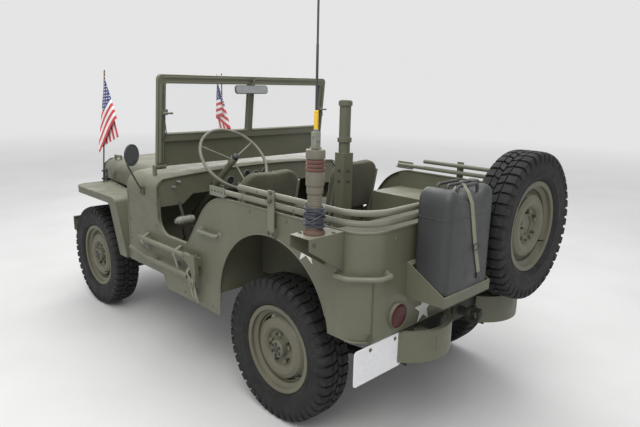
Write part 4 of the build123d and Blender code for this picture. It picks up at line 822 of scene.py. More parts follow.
SEAT_Y = 0.348
LEAN = atan(0.065 / 0.341)
for label, y in (("driver", SEAT_Y), ("passenger", -SEAT_Y)):
    flat = plate_outline((REAR + 0.512, y - 0.202), (REAR + 0.882, y + 0.202), 0.045)
    swelled(label + "_pad", flat, 0.076, Matrix.Translation((0, 0, 0.8)), 0.014)
    back = plate_outline((-0.202, 0), (0.202, 0.318), (0.03, 0.03, 0.093, 0.093), 9)
    ahead = vec(cos(LEAN), 0, sin(LEAN))
    up = vec(-sin(LEAN), 0, cos(LEAN))
    origin = vec(-0.5435, y, 0.836) + ahead * 0.03
    turn = Matrix((vec(0, 1, 0), up, ahead)).transposed().to_4x4()
    swelled(label + "_back", back, 0.062, Matrix.Translation(origin) @ turn, 0.012)
bench = plate_outline((REAR - 0.328, -0.443), (REAR - 0.062, 0.443), 0.035)
swelled("bench_pad", bench, 0.072, Matrix.Translation((0, 0, 0.901)), 0.012)
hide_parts("seat_cushions")


# Flags: each hangs from its top corner in folds that fan out, so the cloth keeps its size
HOIST = 0.305
FLY = 0.457
STAFF_X = REAR + 2.175
CORNER_Z = 1.64


def staff_y(z):
    return 0.545 - 0.06 * (z - 0.875) / 0.815


def fold_path(turns):
    """Directions across the folds, as (sideways, outward) in degrees, by distance along."""
    points = [vec(a, b, 0) for a, b in turns]
    for _ in range(3):
        cut = [points[0]]
        for a, b in zip(points, points[1:]):
            cut += [a.lerp(b, 0.25), a.lerp(b, 0.75)]
        points = cut + [points[-1]]
    along = [0.0]
    for a, b in zip(points, points[1:]):
        along.append(along[-1] + (b - a).length)
    scale = 90.0 / along[-1]
    return [p * scale for p in points], [d * scale for d in along]


def flag(name, side, turns, swing):
    """Thirteen stripes and a blue corner with fifty stars, hung with that corner at the top."""
    rows, cols, blue_rows, blue_cols = 78, 117, 42, 47
    corner = vec(STAFF_X, side * staff_y(CORNER_Z), CORNER_Z)
    path, along = fold_path(turns)
    sway = Matrix.Rotation(radians(swing), 3, "Z")

    def spot(s, t, lift=0.0):
        """Place of the cloth at a distance along the fly and down the hoist."""
        reach = hypot(s, t)
        angle = degrees(atan2(t, s)) if reach > 1e-6 else 45.0
        for i in range(len(along) - 1):
            if along[i + 1] >= angle:
                break
        f = (angle - along[i]) / (along[i + 1] - along[i])
        here = path[i].lerp(path[i + 1], max(0.0, min(1.0, f)))
        step = path[i + 1] - path[i]
        across = radians(here.x)
        out = radians(here.y)
        way = vec(-sin(across) * cos(out), side * sin(out), -cos(across) * cos(out))
        bow = 0.006 * sin(pi * min(1.0, reach / 0.5)) * sin(3.0 + angle * 0.11)
        normal = vec(-step.y, side * -step.x, 0).normalized() * lift
        place_in_air = way * reach + vec(0, side * bow, 0) + normal
        follow = staff_y(CORNER_Z + place_in_air.z) - staff_y(CORNER_Z)
        return corner + sway @ place_in_air + vec(0, side * follow, 0)

    verts = [spot(FLY * c / cols, HOIST * r / rows) for r in range(rows + 1)
        for c in range(cols + 1)]
    faces = [(a, a + 1, a + cols + 2, a + cols + 1) for r in range(rows)
        for a in range(r * (cols + 1), r * (cols + 1) + cols)]
    mesh = new_mesh(name, verts, faces)
    for material in (flag_red, flag_white, flag_blue):
        mesh.materials.append(material)
    for i, polygon in enumerate(mesh.polygons):
        row, col = divmod(i, cols)
        blue = row < blue_rows and col < blue_cols
        polygon.material_index = 2 if blue else (row // 6) % 2
        polygon.use_smooth = True
    cloth = linked(name, mesh)
    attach(cloth, "chassis")

    parts = Parts()
    blue_high, blue_wide = HOIST * blue_rows / rows, FLY * blue_cols / cols
    for row in range(9):
        for col in range(6 - row % 2):
            t = blue_high * (row + 1) / 10
            s = blue_wide * (2 * col + 1 + row % 2) / 12
            for face in (1, -1):
                ring = []
                for k in range(10):
                    r = 0.008 if k % 2 == 0 else 0.0035
                    a = tau * k / 10
                    ring.append(spot(s + r * sin(a), t - r * cos(a), face * 0.0007))
                middle = spot(s, t, face * 0.0007)
                parts.append(([middle] + ring, [(0, k + 1, (k + 1) % 10 + 1) for k in range(10)]))
    stars = parts.make(name + "_stars", flag_white, 0)
    tip = mm((0, 52), (2.2, 40), (5.8, 26), (4, 14), (3, 9), (5.2, 5), (6.2, 0), (5.2, -6), (0, -6))
    lathe(name + "_finial", tip, (STAFF_X, side * staff_y(1.64), 1.644), UP, brass, 16)
    return cloth


flag_red = canvas("flag_red", (0.56, 0.055, 0.06), thread=2600.0)
flag_white = canvas("flag_white", (0.8, 0.79, 0.77), thread=2600.0)
flag_blue = canvas("flag_blue", (0.04, 0.048, 0.17), thread=2600.0)
brass = plain_metal("brass", (0.6, 0.42, 0.16), 0.35)
LEFT_FOLDS = [
    # Sideways and outward, in degrees, from the fly edge to the hoist
    (26, 0.0), (12, 0.8), (-4.4, 0.5), (-6.2, 1.3), (-4.4, 2.3), (12, 3.4), (29.0, 4.0),
    (32.0, 2.8), (31.6, 0.4), (28, -1.2), (14, -1.4), (8, -2.2),
]
RIGHT_FOLDS = [(14, 0.2), (5, 0.9), (-4.6, 0.5), (-5.8, 1.2), (-4.6, 2.1), (5, 3.2), (13.4, 3.4),
    (15.4, 2.4), (15.6, 0.4), (13.4, -1.0), (5, -0.8), (-4.6, -1.6), (-5.8, -2.2), (-4.6, -2.9),
    (4, -2.6), (13, -3.6)]
left_flag = flag("flag_left", 1, LEFT_FOLDS, 8)
flag("flag_right", -1, RIGHT_FOLDS, 0)
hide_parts("flags")

# Clamps that hold the staffs beside the hood's front corners
clamp = [box_parts((STAFF_X - 0.014, staff_y(0.93) - 0.026, 0.893),
    (STAFF_X + 0.014, staff_y(0.93) + 0.011, 0.905)), box_parts((STAFF_X - 0.014,
    staff_y(0.95) - 0.026, 0.952), (STAFF_X + 0.014, staff_y(0.95) + 0.011, 0.964)),
    box_parts((STAFF_X - 0.012, staff_y(0.93) - 0.027, 0.876),
    (STAFF_X + 0.012, staff_y(0.93) - 0.021, 0.972))]
for side in (1, -1):
    parts = Parts([([vec(p.x, side * p.y, p.z) for p in v], f) for v, f in clamp])
    parts.bolt((STAFF_X, side * (staff_y(0.93) + 0.012), 0.899), (0, side, 0), 0.01, 0.005, False)
    name = "staff_clamp_" + ("left" if side == 1 else "right")
    parts.make(name, dark_steel, 30, 0.0012)


# Aerial: insulated mast on the side shelf, its rings, windings, clamp and whip
MAST = at(-0.437, 0.865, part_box("aerial")[0][2])
body_profile = mm((0, 0), (42, 0), (42.5, 6), (40, 11), (34.5, 15.5), (31.5, 22), (30, 30),
    (28.5, 34), (28, 92))
for k in range(7):
    z = 0.094 + k * 0.0093
    body_profile += [(0.0276, z), (0.0288, z + 0.0018), (0.0288, z + 0.0062), (0.0276, z + 0.008)]
body_profile += mm((28.2, 159), (31.8, 159.6), (32.5, 162), (32.5, 186), (31.8, 187.6), (34.5, 189),
    (36.2, 191.5), (36.2, 240.5), (35, 243), (31, 244), (31, 290), (35.5, 291.2), (37.2, 293.5),
    (37.2, 321.5), (35.8, 324.5), (18, 326.2), (14, 327), (14, 330), (0, 330))
mast = lathe("mast", body_profile, MAST, UP, brown_insulator, 56, 32)
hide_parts("aerial")
rings = Parts()
for z in (0.246, 0.261, 0.276):
    rings.lathe([(0.03, z), (0.0362, z + 0.0006), (0.0372, z + 0.003), (0.0372, z + 0.0085),
        (0.0362, z + 0.011), (0.03, z + 0.0116)], MAST, UP, 56)
rings.make("mast_rings", red_insulator, 32)
foot = lathe("mast_foot", mm((29, 30), (32.2, 22.5), (35.2, 16.2), (40.8, 11.8), (42.8, 6.8),
    (42.4, 0)), MAST, UP, rusty, 56, 32)
turns = []
for k in range(12 * 30 + 1):
    a = tau * k / 30
    r = 0.0345 + 0.0022 * sin(a * 0.37 + 1.0) + 0.0016 * sin(a * 1.83)
    z = 0.033 + 0.074 * k / 360 + 0.0022 * sin(a + 0.4 * sin(a * 0.2))
    turns.append(MAST + vec(cos(a) * r, sin(a) * r, z))
loops = Parts([tube_parts(turns, 0.0034, 8)])
for phase, low, high in ((0.3, 0.03, 0.075), (2.2, 0.045, 0.098), (3.9, 0.038, 0.088)):
    ring = [MAST + vec(cos(tau * k / 30 + phase) * 0.04, sin(tau * k / 30 + phase) * 0.04,
        (low + high) / 2 + (high - low) / 2 * cos(tau * k / 30)) for k in range(31)]
    loops.tube(ring, 0.0032, 8, False)
loops.make("mast_windings", coil_wire, 60)
plate = Parts([box_parts(MAST + vec(-0.0165, -0.0165, 0.3285), MAST + vec(0.0165, 0.0165, 0.3335)),
    box_parts(MAST + vec(-0.013, -0.013, 0.3335), MAST + vec(0.013, 0.013, 0.39)),
    lathe_parts(mm((0, 402), (8, 401.5), (9.5, 399), (9.5, 388)), MAST, UP, 20),
    bolt_parts(MAST + vec(-0.0132, 0, 0.362), BACK, 0.01, 0.005),
    bolt_parts(MAST + vec(0, 0.0132, 0.375), (0, 1, 0), 0.009, 0.005)])
plate.make("mast_clamp", clamp_paint, 30, 0.0012)
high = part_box("aerial")[1][2] - MAST.z
whip = lathe("whip", [(0, 0.395), (0.0048, 0.395), (0.0048, 0.7), (0.004, 0.702), (0.004, 1.1),
    (0.003, 1.102), (0.0024, high - 0.004), (0, high)], MAST, UP, black_steel, 16)
tape = []
for k in range(9):
    z = 0.398 + k * 0.0078
    tape += [(0.0072, z), (0.0086, z + 0.0012), (0.008, z + 0.0074)]
lathe("mast_tape", [(0, 0.397)] + tape + [(0, 0.471)], MAST, UP, yellow_tape, 20)


# Tub trim: rolled edges, the door cuts' inner flanges, arch lips and seams
DOOR = [(REAR + 0.1, TUB_TOP), (REAR + 0.449, TUB_TOP), (REAR + 0.678, 0.757),
    (REAR + 1.000, 0.757), (REAR + 1.000, 0.96)]
ARCH = (REAR - 0.02, 0.56, 0.393)
parts = Parts()
for side in (1, -1):
    cut = rounded([(x, side * 0.7475, z) for x, z in DOOR], [0.29, 0.06, 0.13], 14)
    dash = rounded([at(1, side * 0.7475, 0.96), at(1, side * 0.7475, 1.0675),
        at(1, side * 0.62, 1.0765), at(1, side * 0.46, 1.087), at(1, side * 0.23, 1.0965),
        at(1, 0, 1.0992)], [0.088, 0.3, 0.5, 0.5], 8)
    parts.tube(dash, 0.0055, 10)
    parts.tube(cut, 0.0052, 10)
    inner = [vec(p.x, side * 0.7465, p.z) for p in cut]
    parts.strip(inner[6:], (0, -side * 0.021, 0), 0.0026)
    arch = [(ARCH[0] + ARCH[2] * cos(a), side * 0.749, ARCH[1] + ARCH[2] * sin(a))
        for a in [radians(-6 + 168 * k / 48) for k in range(49)]
        if ARCH[1] + ARCH[2] * sin(a) > 0.5]
    parts.tube(arch, 0.0042, 10)
    sill = [at(0.376, side * 0.7485, 0.44), at(0.9, side * 0.7485, 0.44),
        at(0.95, side * 0.7485, 0.517), at(1.362, side * 0.7485, 0.517)]
    parts.tube(rounded(sill, 0.02, 4), 0.004, 8)
    parts.box(at(1.352, min(side * 0.7492, side * 0.7522), 0.52),
        at(1.364, max(side * 0.7492, side * 0.7522), 0.96))
rim = rounded([at(0.3, 0.7475, TUB_TOP - 0.001), (TUB_REAR + 0.0025, 0.7475, TUB_TOP - 0.001),
    (TUB_REAR + 0.0025, -0.7475, TUB_TOP - 0.001), at(0.3, -0.7475, TUB_TOP - 0.001)], 0.1175, 12)
parts.tube(rim, 0.006, 10)
low = rounded([at(-0.41, 0.7475, 0.6135), (TUB_REAR + 0.0025, 0.7475, 0.6135),
    (TUB_REAR + 0.0025, -0.7475, 0.6135), at(-0.41, -0.7475, 0.6135)], 0.1175, 12)
parts.tube(low, 0.004, 8)
parts.make("tub_edges", olive, 40)

# Bolt heads of the tub
parts = Parts()
for side in (1, -1):
    out = (0, side, 0)
    face = side * 0.75
    for x, z in ((REAR + 1.015, 0.8), (REAR + 1.015, 0.93), (REAR + 1.34, 0.56),
            (REAR + 1.34, 0.66), (REAR + 1.34, 0.78), (REAR + 1.34, 0.9), (REAR + 0.97, 0.55),
            (REAR + 0.72, 0.47), (REAR + 0.45, 0.47), (REAR - 0.3, 1.045), (REAR - 0.14, 1.045),
            (REAR + 0.12, 1.045)):
        parts.bolt((x, face, z), out, 0.01, 0.004)
for y in (-0.56, 0.56):
    for z in (0.66, 0.86, 1.03):
        parts.bolt((TUB_REAR, y, z), BACK, 0.009, 0.004)
parts.make("tub_bolts", olive, 30)

stars = Parts()
for side in (1, -1):
    stars.append(star_parts(at(-0.272, side * 0.7506, 0.946), (1, 0, 0), (0, 0, 1), 0.07, 0.0008))
stars.append(star_parts((TUB_REAR - 0.0006, 0.338, 0.668), (0, 1, 0), (0, 0, 1), 0.07, 0.0008))
stars.make("stars", white_paint, 0)

# Number plate left blank, hung from the tub's rear corner by two straps
PLATE_X = TUB_REAR + 0.003
plate_flat = plate_outline((0.48, 0.446), (0.788, 0.604), 0.016, 5)
blank = slab_parts(plate_flat, (PLATE_X, 0, 0), (0, 1, 0), (0, 0, 1), 0.0022)
place("plate", *blank, white_enamel, "chassis", 30, 0.0006, 1)
edge = [(PLATE_X - 0.0012, y, z) for y, z in plate_outline((0.486, 0.452), (0.782, 0.598), 0.011,
    5)]
parts = Parts([tube_parts(edge + edge[:2], 0.0012, 6, False)])
parts.make("plate_bead", white_enamel, 40)
parts = Parts()
for y in (0.53, 0.69):
    parts.box((PLATE_X + 0.0012, y - 0.011, 0.56), (PLATE_X + 0.004, y + 0.011, 0.64))
    parts.bolt((PLATE_X - 0.0011, y, 0.583), BACK, 0.01, 0.004)
parts.box((PLATE_X + 0.0012, 0.5, 0.556), (PLATE_X + 0.0042, 0.73, 0.572))
parts.make("plate_straps", olive_dark, 30, 0.0008, 1)

# Lamps: bowls behind the guard with glass and bezels, marker lamps below, and red tail lamps
lamp_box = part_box("lamps")
bowls, bezels, lenses, red = Parts(), Parts(), Parts(), Parts()
for side in (1, -1):
    spot = vec(lamp_box[1][0], side * 0.34, 0.862)
    bowls.lathe(mm((0, -90), (30, -88), (60, -70), (78, -40), (81.5, -10)), spot, AHEAD, 48)
    bowls.lathe(mm((81, -8), (101.5, -8), (101.5, -0.6), (81.2, -0.6)), spot, AHEAD, 48)
    lenses.lathe(mm((0, 6), (30, 4.5), (55, 0.5), (70, -6), (74, -10)), spot, AHEAD, 48)
    bezels.lathe(mm((72.5, -8), (74, -3), (78, -1), (81.5, -4), (82, -14)), spot, AHEAD, 48)
    small = at(2.372, side * 0.34, 0.735)
    bezels.lathe(mm((24, 16), (26, 20), (29, 18), (30, 0), (30, -12)), small, AHEAD, 32)
    lenses.lathe(mm((0, 26), (12, 24), (24, 16)), small, AHEAD, 28)
    spot = vec(TUB_REAR, side * 0.53, 0.69)
    red.lathe(mm((0, -20), (18, -19.5), (38, -16.8), (50.5, -13.2), (53, -10)), spot, AHEAD, 48)
    bowls.lathe(mm((52, -11), (52.6, -14.2), (54.4, -14.8), (55.8, -12), (56, 0)), spot, AHEAD, 48)
shells = bowls.make("lamp_shells", olive)
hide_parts("lamps")
bezels.make("lamp_bezels", olive)
lenses.make("lamp_lenses", clear_lens, 50)
red.make("tail_lenses", red_lens, 50)


# Windshield: inner frames round the panes, clamps with knobs, straps, and the inside mirror
RAKE = radians(6)
SCREEN = at(1.128, 0, 1.122)
SCREEN_UP = vec(-sin(RAKE), 0, cos(RAKE))
SCREEN_AHEAD = vec(cos(RAKE), 0, sin(RAKE))


def on_screen(y, up, ahead=0.0):
    return SCREEN + vec(0, y, 0) + SCREEN_UP * up + SCREEN_AHEAD * ahead


parts = Parts()
for low_y, high_y in ((0.016, 0.628), (-0.628, -0.016)):
    for way in (-1, 1):
        ring = [on_screen(y, up, way * 0.0105) for y, up in plate_outline((low_y, 0.197),
            (high_y, 0.501), 0.014, 4)]
        parts.tube(ring + ring[:2], 0.0065, 8, False)
for side in (1, -1):
    post = [on_screen(side * 0.655, 0.03, -0.015), on_screen(side * 0.655, 0.49, -0.015)]
    parts.tube(post, 0.01, 12)
    parts.tube([on_screen(side * 0.634, 0.03, -0.0135), on_screen(side * 0.634, 0.5, -0.0135)],
        0.0035, 8)
parts.make("windshield_inner", olive, 40, body="windshield")

parts, straps = Parts(), Parts()
for side in (1, -1):
    seat = on_screen(side * 0.632, 0.33, -0.013)
    back = -SCREEN_AHEAD
    parts.box(seat + vec(-0.01, -0.02, -0.016), seat + vec(0.004, 0.02, 0.016))
    parts.tube([seat, seat + back * 0.04], 0.005, 10)
    bar = seat + back * 0.044
    parts.tube([bar - vec(0, 0.03, 0), bar - vec(0, 0.022, 0), bar, bar + vec(0, 0.022, 0),
        bar + vec(0, 0.03, 0)], [0.0075, 0.006, 0.0055, 0.006, 0.0075], 10)
    hang = rounded([seat + vec(-0.02, side * 0.012, -0.01), seat
        + vec(-0.026, side * 0.012, -0.045), on_screen(side * 0.622, 0.205, -0.026),
        on_screen(side * 0.64, 0.165, -0.018)], 0.03, 6)
    straps.tube(hang, 0.0026, 8)
    wing = vec(SCREEN.x - 0.006, side * 0.655, 1.128)
    parts.lathe(mm((0, 20), (8, 19), (10, 15), (10, 0)), wing, BACK, 16)
    parts.box(wing + vec(-0.026, -0.024, -0.005), wing + vec(-0.014, 0.024, 0.006))
parts.make("windshield_knobs", olive, 35, 0.001, body="windshield")
straps.make("windshield_straps", black_steel, 40, body="windshield")

glass_flat = plate_outline((-0.148, -0.027), (0.148, 0.027), 0.02, 5)
turn = Matrix.Rotation(radians(8), 3, "Z") @ Matrix.Rotation(radians(6), 3, "Y")
middle = on_screen(0.03, 0.468, -0.052)
shell = slab_parts(glass_flat, middle, turn @ vec(0, 1, 0), turn @ vec(0, 0, 1), 0.01)
place("inside_mirror_back", *shell, olive_dark, "windshield", 35, 0.003)
glass_flat = plate_outline((-0.143, -0.022), (0.143, 0.022), 0.016, 5)
face = slab_parts(glass_flat, middle - turn @ vec(0.0048, 0, 0), turn @ vec(0, 1, 0),
    turn @ vec(0, 0, 1), 0.0014)
place("inside_mirror_glass", *face, mirror_glass, "windshield", 35)
arm = rounded([on_screen(0, 0.528, -0.012), on_screen(0, 0.524, -0.04),
    middle + vec(0.004, 0, 0.012)], 0.012, 5)
parts = Parts([tube_parts(arm, 0.0048, 10), box_parts(on_screen(-0.016, 0.515, -0.02),
    on_screen(0.016, 0.54, -0.01))])
parts.make("inside_mirror_arm", olive_dark, 35, 0.0008, body="windshield")


# Door mirror: black glass in a dished case, turned toward the driver
head = at(1.082, 0.85, 1.213)
facing = vec(-0.89, -0.454, 0).normalized()
case = lathe("door_mirror", mm((0, 6), (57, 6), (59, 9.5), (61.5, 9.5), (63, 6), (62, -1),
    (50, -11), (25, -17), (0, -18)), head, facing, black_steel, 56, 32)
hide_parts("mirror")
lathe("door_mirror_glass", mm((0, 6.8), (56, 6.8), (57.2, 6)), head, facing, dark_mirror,
    48)
foot = at(1.16, 0.7585, 0.99)
arm = rounded([foot, foot + vec(0, 0.012, 0.02), head - facing * 0.03 + vec(0, 0, -0.06),
    head - facing * 0.016], [0.03, 0.04], 6)
parts = Parts([tube_parts(arm, 0.0058, 12), lathe_parts(mm((0, 12), (11, 12), (13, 9), (13, -10),
    (0, -10)), head - facing * 0.02, facing, 20), box_parts((foot.x - 0.022, 0.75, 0.962),
    (foot.x + 0.022, 0.758, 1.012)), bolt_parts((foot.x - 0.012, 0.758, 0.975), (0, 1, 0), 0.01,
    0.005), bolt_parts((foot.x + 0.012, 0.758, 0.975), (0, 1, 0), 0.01, 0.005)])
parts.make("door_mirror_arm", olive_dark, 35, 0.001)

# Fuel can: two pressed halves with full round corners, raised ends, three handles and a strap
CAN_X = (REAR - 0.785, REAR - 0.62)
CAN_Y = 0.298
CAN_Z = 0.766
side_view = mm((0, 0), (148, 0), (164, 6), (170, 20), (172, 40), (172.2, 400), (170, 428),
    (161, 450), (145, 464), (126, 470), (112, 468), (102, 462), (90, 450), (78, 441), (60, 438),
    (0, 438))
ring = side_view + [(-y, z) for y, z in reversed(side_view[1:-1])]


def can_ring(x, inset):
    """The can's side view drawn in, at a place along its depth."""
    out = []
    count = len(ring)
    for k, (y, z) in enumerate(ring):
        (ay, az), (by, bz) = ring[k - 1], ring[(k + 1) % count]
        t = Vector((by - ay, bz - az)).normalized()
        out.append(vec(x, CAN_Y + y - t.y * inset, CAN_Z + z + t.x * inset))
    return out


ROUND = 0.034
levels = []
for k in range(7):
    a = pi / 2 * k / 6
    levels.append((ROUND * (1 - sin(a)), ROUND * (1 - cos(a))))
rings = [can_ring(CAN_X[0] + depth, inset) for inset, depth in levels]
half = (CAN_X[0] + CAN_X[1]) / 2
rings += [can_ring(CAN_X[1] - depth, inset) for inset, depth in reversed(levels)]
count = len(ring)
verts = [p for r in rings for p in r]
faces = [(i * count + k, i * count + (k + 1) % count, (i + 1) * count + (k + 1) % count,
    (i + 1) * count + k) for i in range(len(rings) - 1) for k in range(count)]
faces += [tuple(range(count)), tuple(range(len(verts) - count, len(verts)))]
can = place("can_body", verts, faces, can_paint, "chassis", 38)
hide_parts("fuel_can")
parts = Parts()
for k in range(3):
    x = half + (k - 1) * 0.046
    bar = rounded([(x, CAN_Y - 0.078, CAN_Z + 0.436), (x, CAN_Y - 0.078, CAN_Z + 0.476),
        (x, CAN_Y + 0.078, CAN_Z + 0.476), (x, CAN_Y + 0.078, CAN_Z + 0.436)], 0.018, 6)
    parts.tube(bar, 0.0068, 12)
seam = [(x, y, CAN_Z + 0.352) for x, y in plate_outline((CAN_X[0] + 0.0004, CAN_Y - 0.1722),
    (CAN_X[1] - 0.0004, CAN_Y + 0.1722), ROUND, 8)]
parts.tube(seam + seam[:2], 0.0022, 8, False)
parts.lathe(mm((0, 30), (22, 30), (26, 26), (27, 0)), (half, CAN_Y - 0.12, CAN_Z + 0.452), UP, 28)
parts.make("can_handles", can_paint, 40)
strap = rounded([(half - 0.046, CAN_Y + 0.035, CAN_Z + 0.484),
    (CAN_X[0] + 0.01, CAN_Y + 0.034, CAN_Z + 0.452), (CAN_X[0] - 0.0025, CAN_Y + 0.02,
    CAN_Z + 0.405), (CAN_X[0] - 0.003, CAN_Y - 0.035, CAN_Z + 0.21),
    (CAN_X[0] - 0.003, CAN_Y - 0.08, CAN_Z + 0.085)], [0.02, 0.03, 0.1], 6)
band = strip_parts([Vector(p) - vec(0, 0.014, 0) for p in strap], (0, 0.028, 0.006), 0.0022)
place("can_strap", *band, webbing, "chassis", 40)
end = vec(CAN_X[0] - 0.0045, CAN_Y - 0.08, CAN_Z + 0.08)
parts = Parts([box_parts(end + vec(-0.0016, -0.016, -0.012), end + vec(0.003, 0.016, 0.014))])
buckle = [end + vec(-0.002, y, z + 0.135) + vec(0, 0.043, 0) for y,
    z in plate_outline((-0.02, -0.013), (0.02, 0.013), 0.006, 4)]
parts.tube(buckle + buckle[:2], 0.0018, 8, False)
parts.make("can_strap_metal", black_steel, 35, 0.0008, 1)

# Seams in the tub's rear corners
parts = Parts()
for side in (1, -1):
    a = radians(66)
    spot = vec(TUB_REAR + 0.12 - 0.1203 * sin(a), side * (0.63 + 0.1203 * cos(a)), 0)
    out = vec(-sin(a), side * cos(a), 0)
    across = vec(-out.y, out.x, 0)
    for shift in (-0.003, 0.003):
        p = spot + across * shift
        parts.tube([p + vec(0, 0, 0.622), p + vec(0, 0, 0.868)], 0.0011, 6)
parts.make("corner_seams", olive_dark, 40)

# Fender rolled edges, and bolts where each fender meets the hood side and cowl
parts = Parts()
for side in (1, -1):
    edge = rounded([at(1.412, side * 0.7515, 0.515), at(1.556, side * 0.7515, 0.871),
        at(2.196, side * 0.7515, 0.871), at(2.196, side * 0.476, 0.871)], [0.045, 0.088], 10)
    parts.tube(edge, 0.006, 10)
    low = rounded([at(1.507, side * 0.752, 0.512), at(1.628, side * 0.752, 0.832),
        at(2.196, side * 0.752, 0.832), at(2.196, side * 0.478, 0.832)], [0.03, 0.088], 10)
    parts.tube(low, 0.0042, 10)
    nose = [vec(REAR + 2.11 + 0.0885 * cos(pi / 2 * k / 12), side
        * (0.665 + 0.0885 * sin(pi / 2 * k / 12)), 0.832) for k in range(-1, 14)]
    parts.strip(nose, (0, 0, 0.04), 0.0022)
    for k in range(5):
        x = REAR + 1.62 + k * 0.125
        y = 0.575 - (x - REAR - 1.555) * 0.155
        parts.bolt((x, side * (y + 0.02), 0.875), UP, 0.012, 0.005)
parts.make("fender_edges", olive, 40)


# Dash: dial faces with pale rims, knobs, and the small cylinder hung under the driver's side
DASH_X = REAR + 0.9995
faces_dark, rims, knobs = Parts(), Parts(), Parts()
for y, z, r in ((0.02, 1.02, 0.04), (-0.055, 1.045, 0.025), (-0.055, 0.99, 0.025),
        (0.095, 1.045, 0.025), (0.095, 0.99, 0.025), (0.222, 1.012, 0.03)):
    spot = vec(DASH_X, y, z)
    if y > 0.2:
        spot.x += 0.006
    faces_dark.lathe([(0, 0.0012), (r * 0.86, 0.0012), (r * 0.86, 0)], spot, BACK, 40)
    rims.lathe([(r * 0.84, 0.0014), (r * 0.88, 0.005), (r * 0.97, 0.0044), (r * 1.02, 0),
        (r * 1.02, -0.006)], spot, BACK, 40)
    rims.slab([(-0.0006, -r * 0.1), (0.0006, -r * 0.1), (0.0002, r * 0.62), (-0.0002, r * 0.62)],
        spot - vec(0.0018, 0, 0), (0, 0.8, -0.6), (0, 0.6, 0.8), 0.0006)
    for k in range(9):
        a = radians(-130 + k * 32.5)
        d = vec(0, sin(a), cos(a))
        rims.slab([(-0.0005, r * 0.66), (0.0005, r * 0.66), (0.0005, r * 0.8), (-0.0005, r * 0.8)],
            spot - vec(0.0016, 0, 0), (0, cos(a), -sin(a)), d, 0.0005)
for y, z in ((0.604, 1.045), (0.64, 1.018), (0.35, 1.015), (-0.13, 1.035), (-0.13, 0.985),
        (0.16, 0.985), (0.3, 0.985)):
    spot = vec(DASH_X + 0.006, y, z)
    knobs.lathe(mm((0, 30), (6, 29), (8.5, 25), (8, 19), (4, 16), (4, 4), (9.5, 3), (9.5, 0)), spot,
        BACK, 20)
faces_dark.make("dials", black_bakelite, 30)
rims.make("dial_rims", dial_metal)
knobs.make("dash_knobs", bare_steel, 40)
spot = at(0.94, 0.6, 0.823)
parts = Parts([lathe_parts(mm((0, -62), (12, -61), (21, -55), (24, -44), (24, 40), (21, 52),
    (14, 58), (14, 66), (0, 67)), spot, (0, 1, 0), 32)])
for y in (-0.03, 0.026):
    ring = [spot + vec(0.0255 * cos(a), y, 0.0255 * sin(a)) for a in [tau * k / 24
        for k in range(26)]]
    parts.tube(ring, 0.0022, 6, False)
parts.make("under_dash_cylinder", clamp_paint)
hanger = slab_parts(mm((-9, 0), (9, 0), (9, 110), (-9, 110)), spot + vec(0.022, -0.004, 0.004),
    (0, 1, 0), vec(0.45, 0, 0.89).normalized(), 0.003)
place("cylinder_hanger", *hanger, chassis_black, "chassis", 35, 0.0006, 1)

# Bars on the hood's front corners, and its side catches with their loops
parts = Parts()
for side in (1, -1):
    bar = [at(2.15, side * 0.408, 1.058), at(2.27, side * 0.4, 1.052)]
    parts.tube(bar, 0.009, 14)
    for x in (2.16, 2.255):
        z = 1.052 - (x - 2.155) * 0.05
        parts.box((REAR + x - 0.006, side * 0.404 - 0.006, z - 0.034),
            (REAR + x + 0.006, side * 0.404 + 0.006, z))
parts.make("hood_bars", tube_paint, body="hood_lid")
parts = Parts()
for side in (1, -1):
    for x in (1.62, 2.12):
        wide = 0.562 - (x - 1.372) * (0.562 - 0.455) / 0.978
        face = side * (wide + 0.0005)
        parts.box((REAR + x - 0.014, min(face, face + side * 0.004), 0.9),
            (REAR + x + 0.014, max(face, face + side * 0.004), 0.955))
        loop = rounded([(REAR + x - 0.012, face + side * 0.004, 0.94),
            (REAR + x - 0.012, face + side * 0.014, 0.94), (REAR + x - 0.012, face + side * 0.018,
            0.9), (REAR + x + 0.012, face + side * 0.018, 0.9),
            (REAR + x + 0.012, face + side * 0.014, 0.94), (REAR + x + 0.012, face + side * 0.004,
            0.94)], 0.006, 4)
        parts.tube(loop, 0.0026, 8)
        parts.bolt((REAR + x, face + side * 0.004, 0.947), (0, side, 0), 0.008, 0.003, False)
parts.make("hood_catches", olive, 35, 0.0008, 1, body="hood_lid")

# Hand tools: webbing loops with buckles round the handles
def loop_parts(x, z, low, out):
    """A webbing loop that hangs round a handle at a height, down to low."""
    path = [(x, 0.7535, z + 0.03), (x, 0.756 + out * 0.3, z + 0.034), (x, 0.788 + out, z + 0.018),
        (x, 0.806 + out, z - 0.01), (x, 0.795 + out, z - 0.034), (x, 0.776, low + 0.03),
        (x + 0.004, 0.762, low)]
    path = rounded(path, 0.012, 4)
    return strip_parts([Vector(p) - vec(0.011, 0, 0) for p in path], (0.022, 0, 0), 0.0022)


bands = Parts([loop_parts(REAR + 0.735, 0.706, 0.56, 0), loop_parts(REAR + 0.6, 0.64, 0.47, 0),
    loop_parts(REAR + 0.56, 0.6, 0.455, -0.004), loop_parts(REAR + 1.1, 0.706, 0.64, 0)])
bands.make("tool_straps", webbing, 40)
parts = Parts()
for x, z in ((REAR + 0.735, 0.64), (REAR + 0.6, 0.56), (REAR + 0.56, 0.53)):
    frame_path = [(x + a, 0.772, z + b) for a, b in plate_outline((-0.015, -0.011), (0.015, 0.011),
        0.004, 3)]
    parts.tube(frame_path + frame_path[:2], 0.0018, 8, False)
    parts.box((x - 0.002, 0.7705, z - 0.011), (x + 0.002, 0.7735, z + 0.011))
parts.make("tool_buckles", dark_steel)
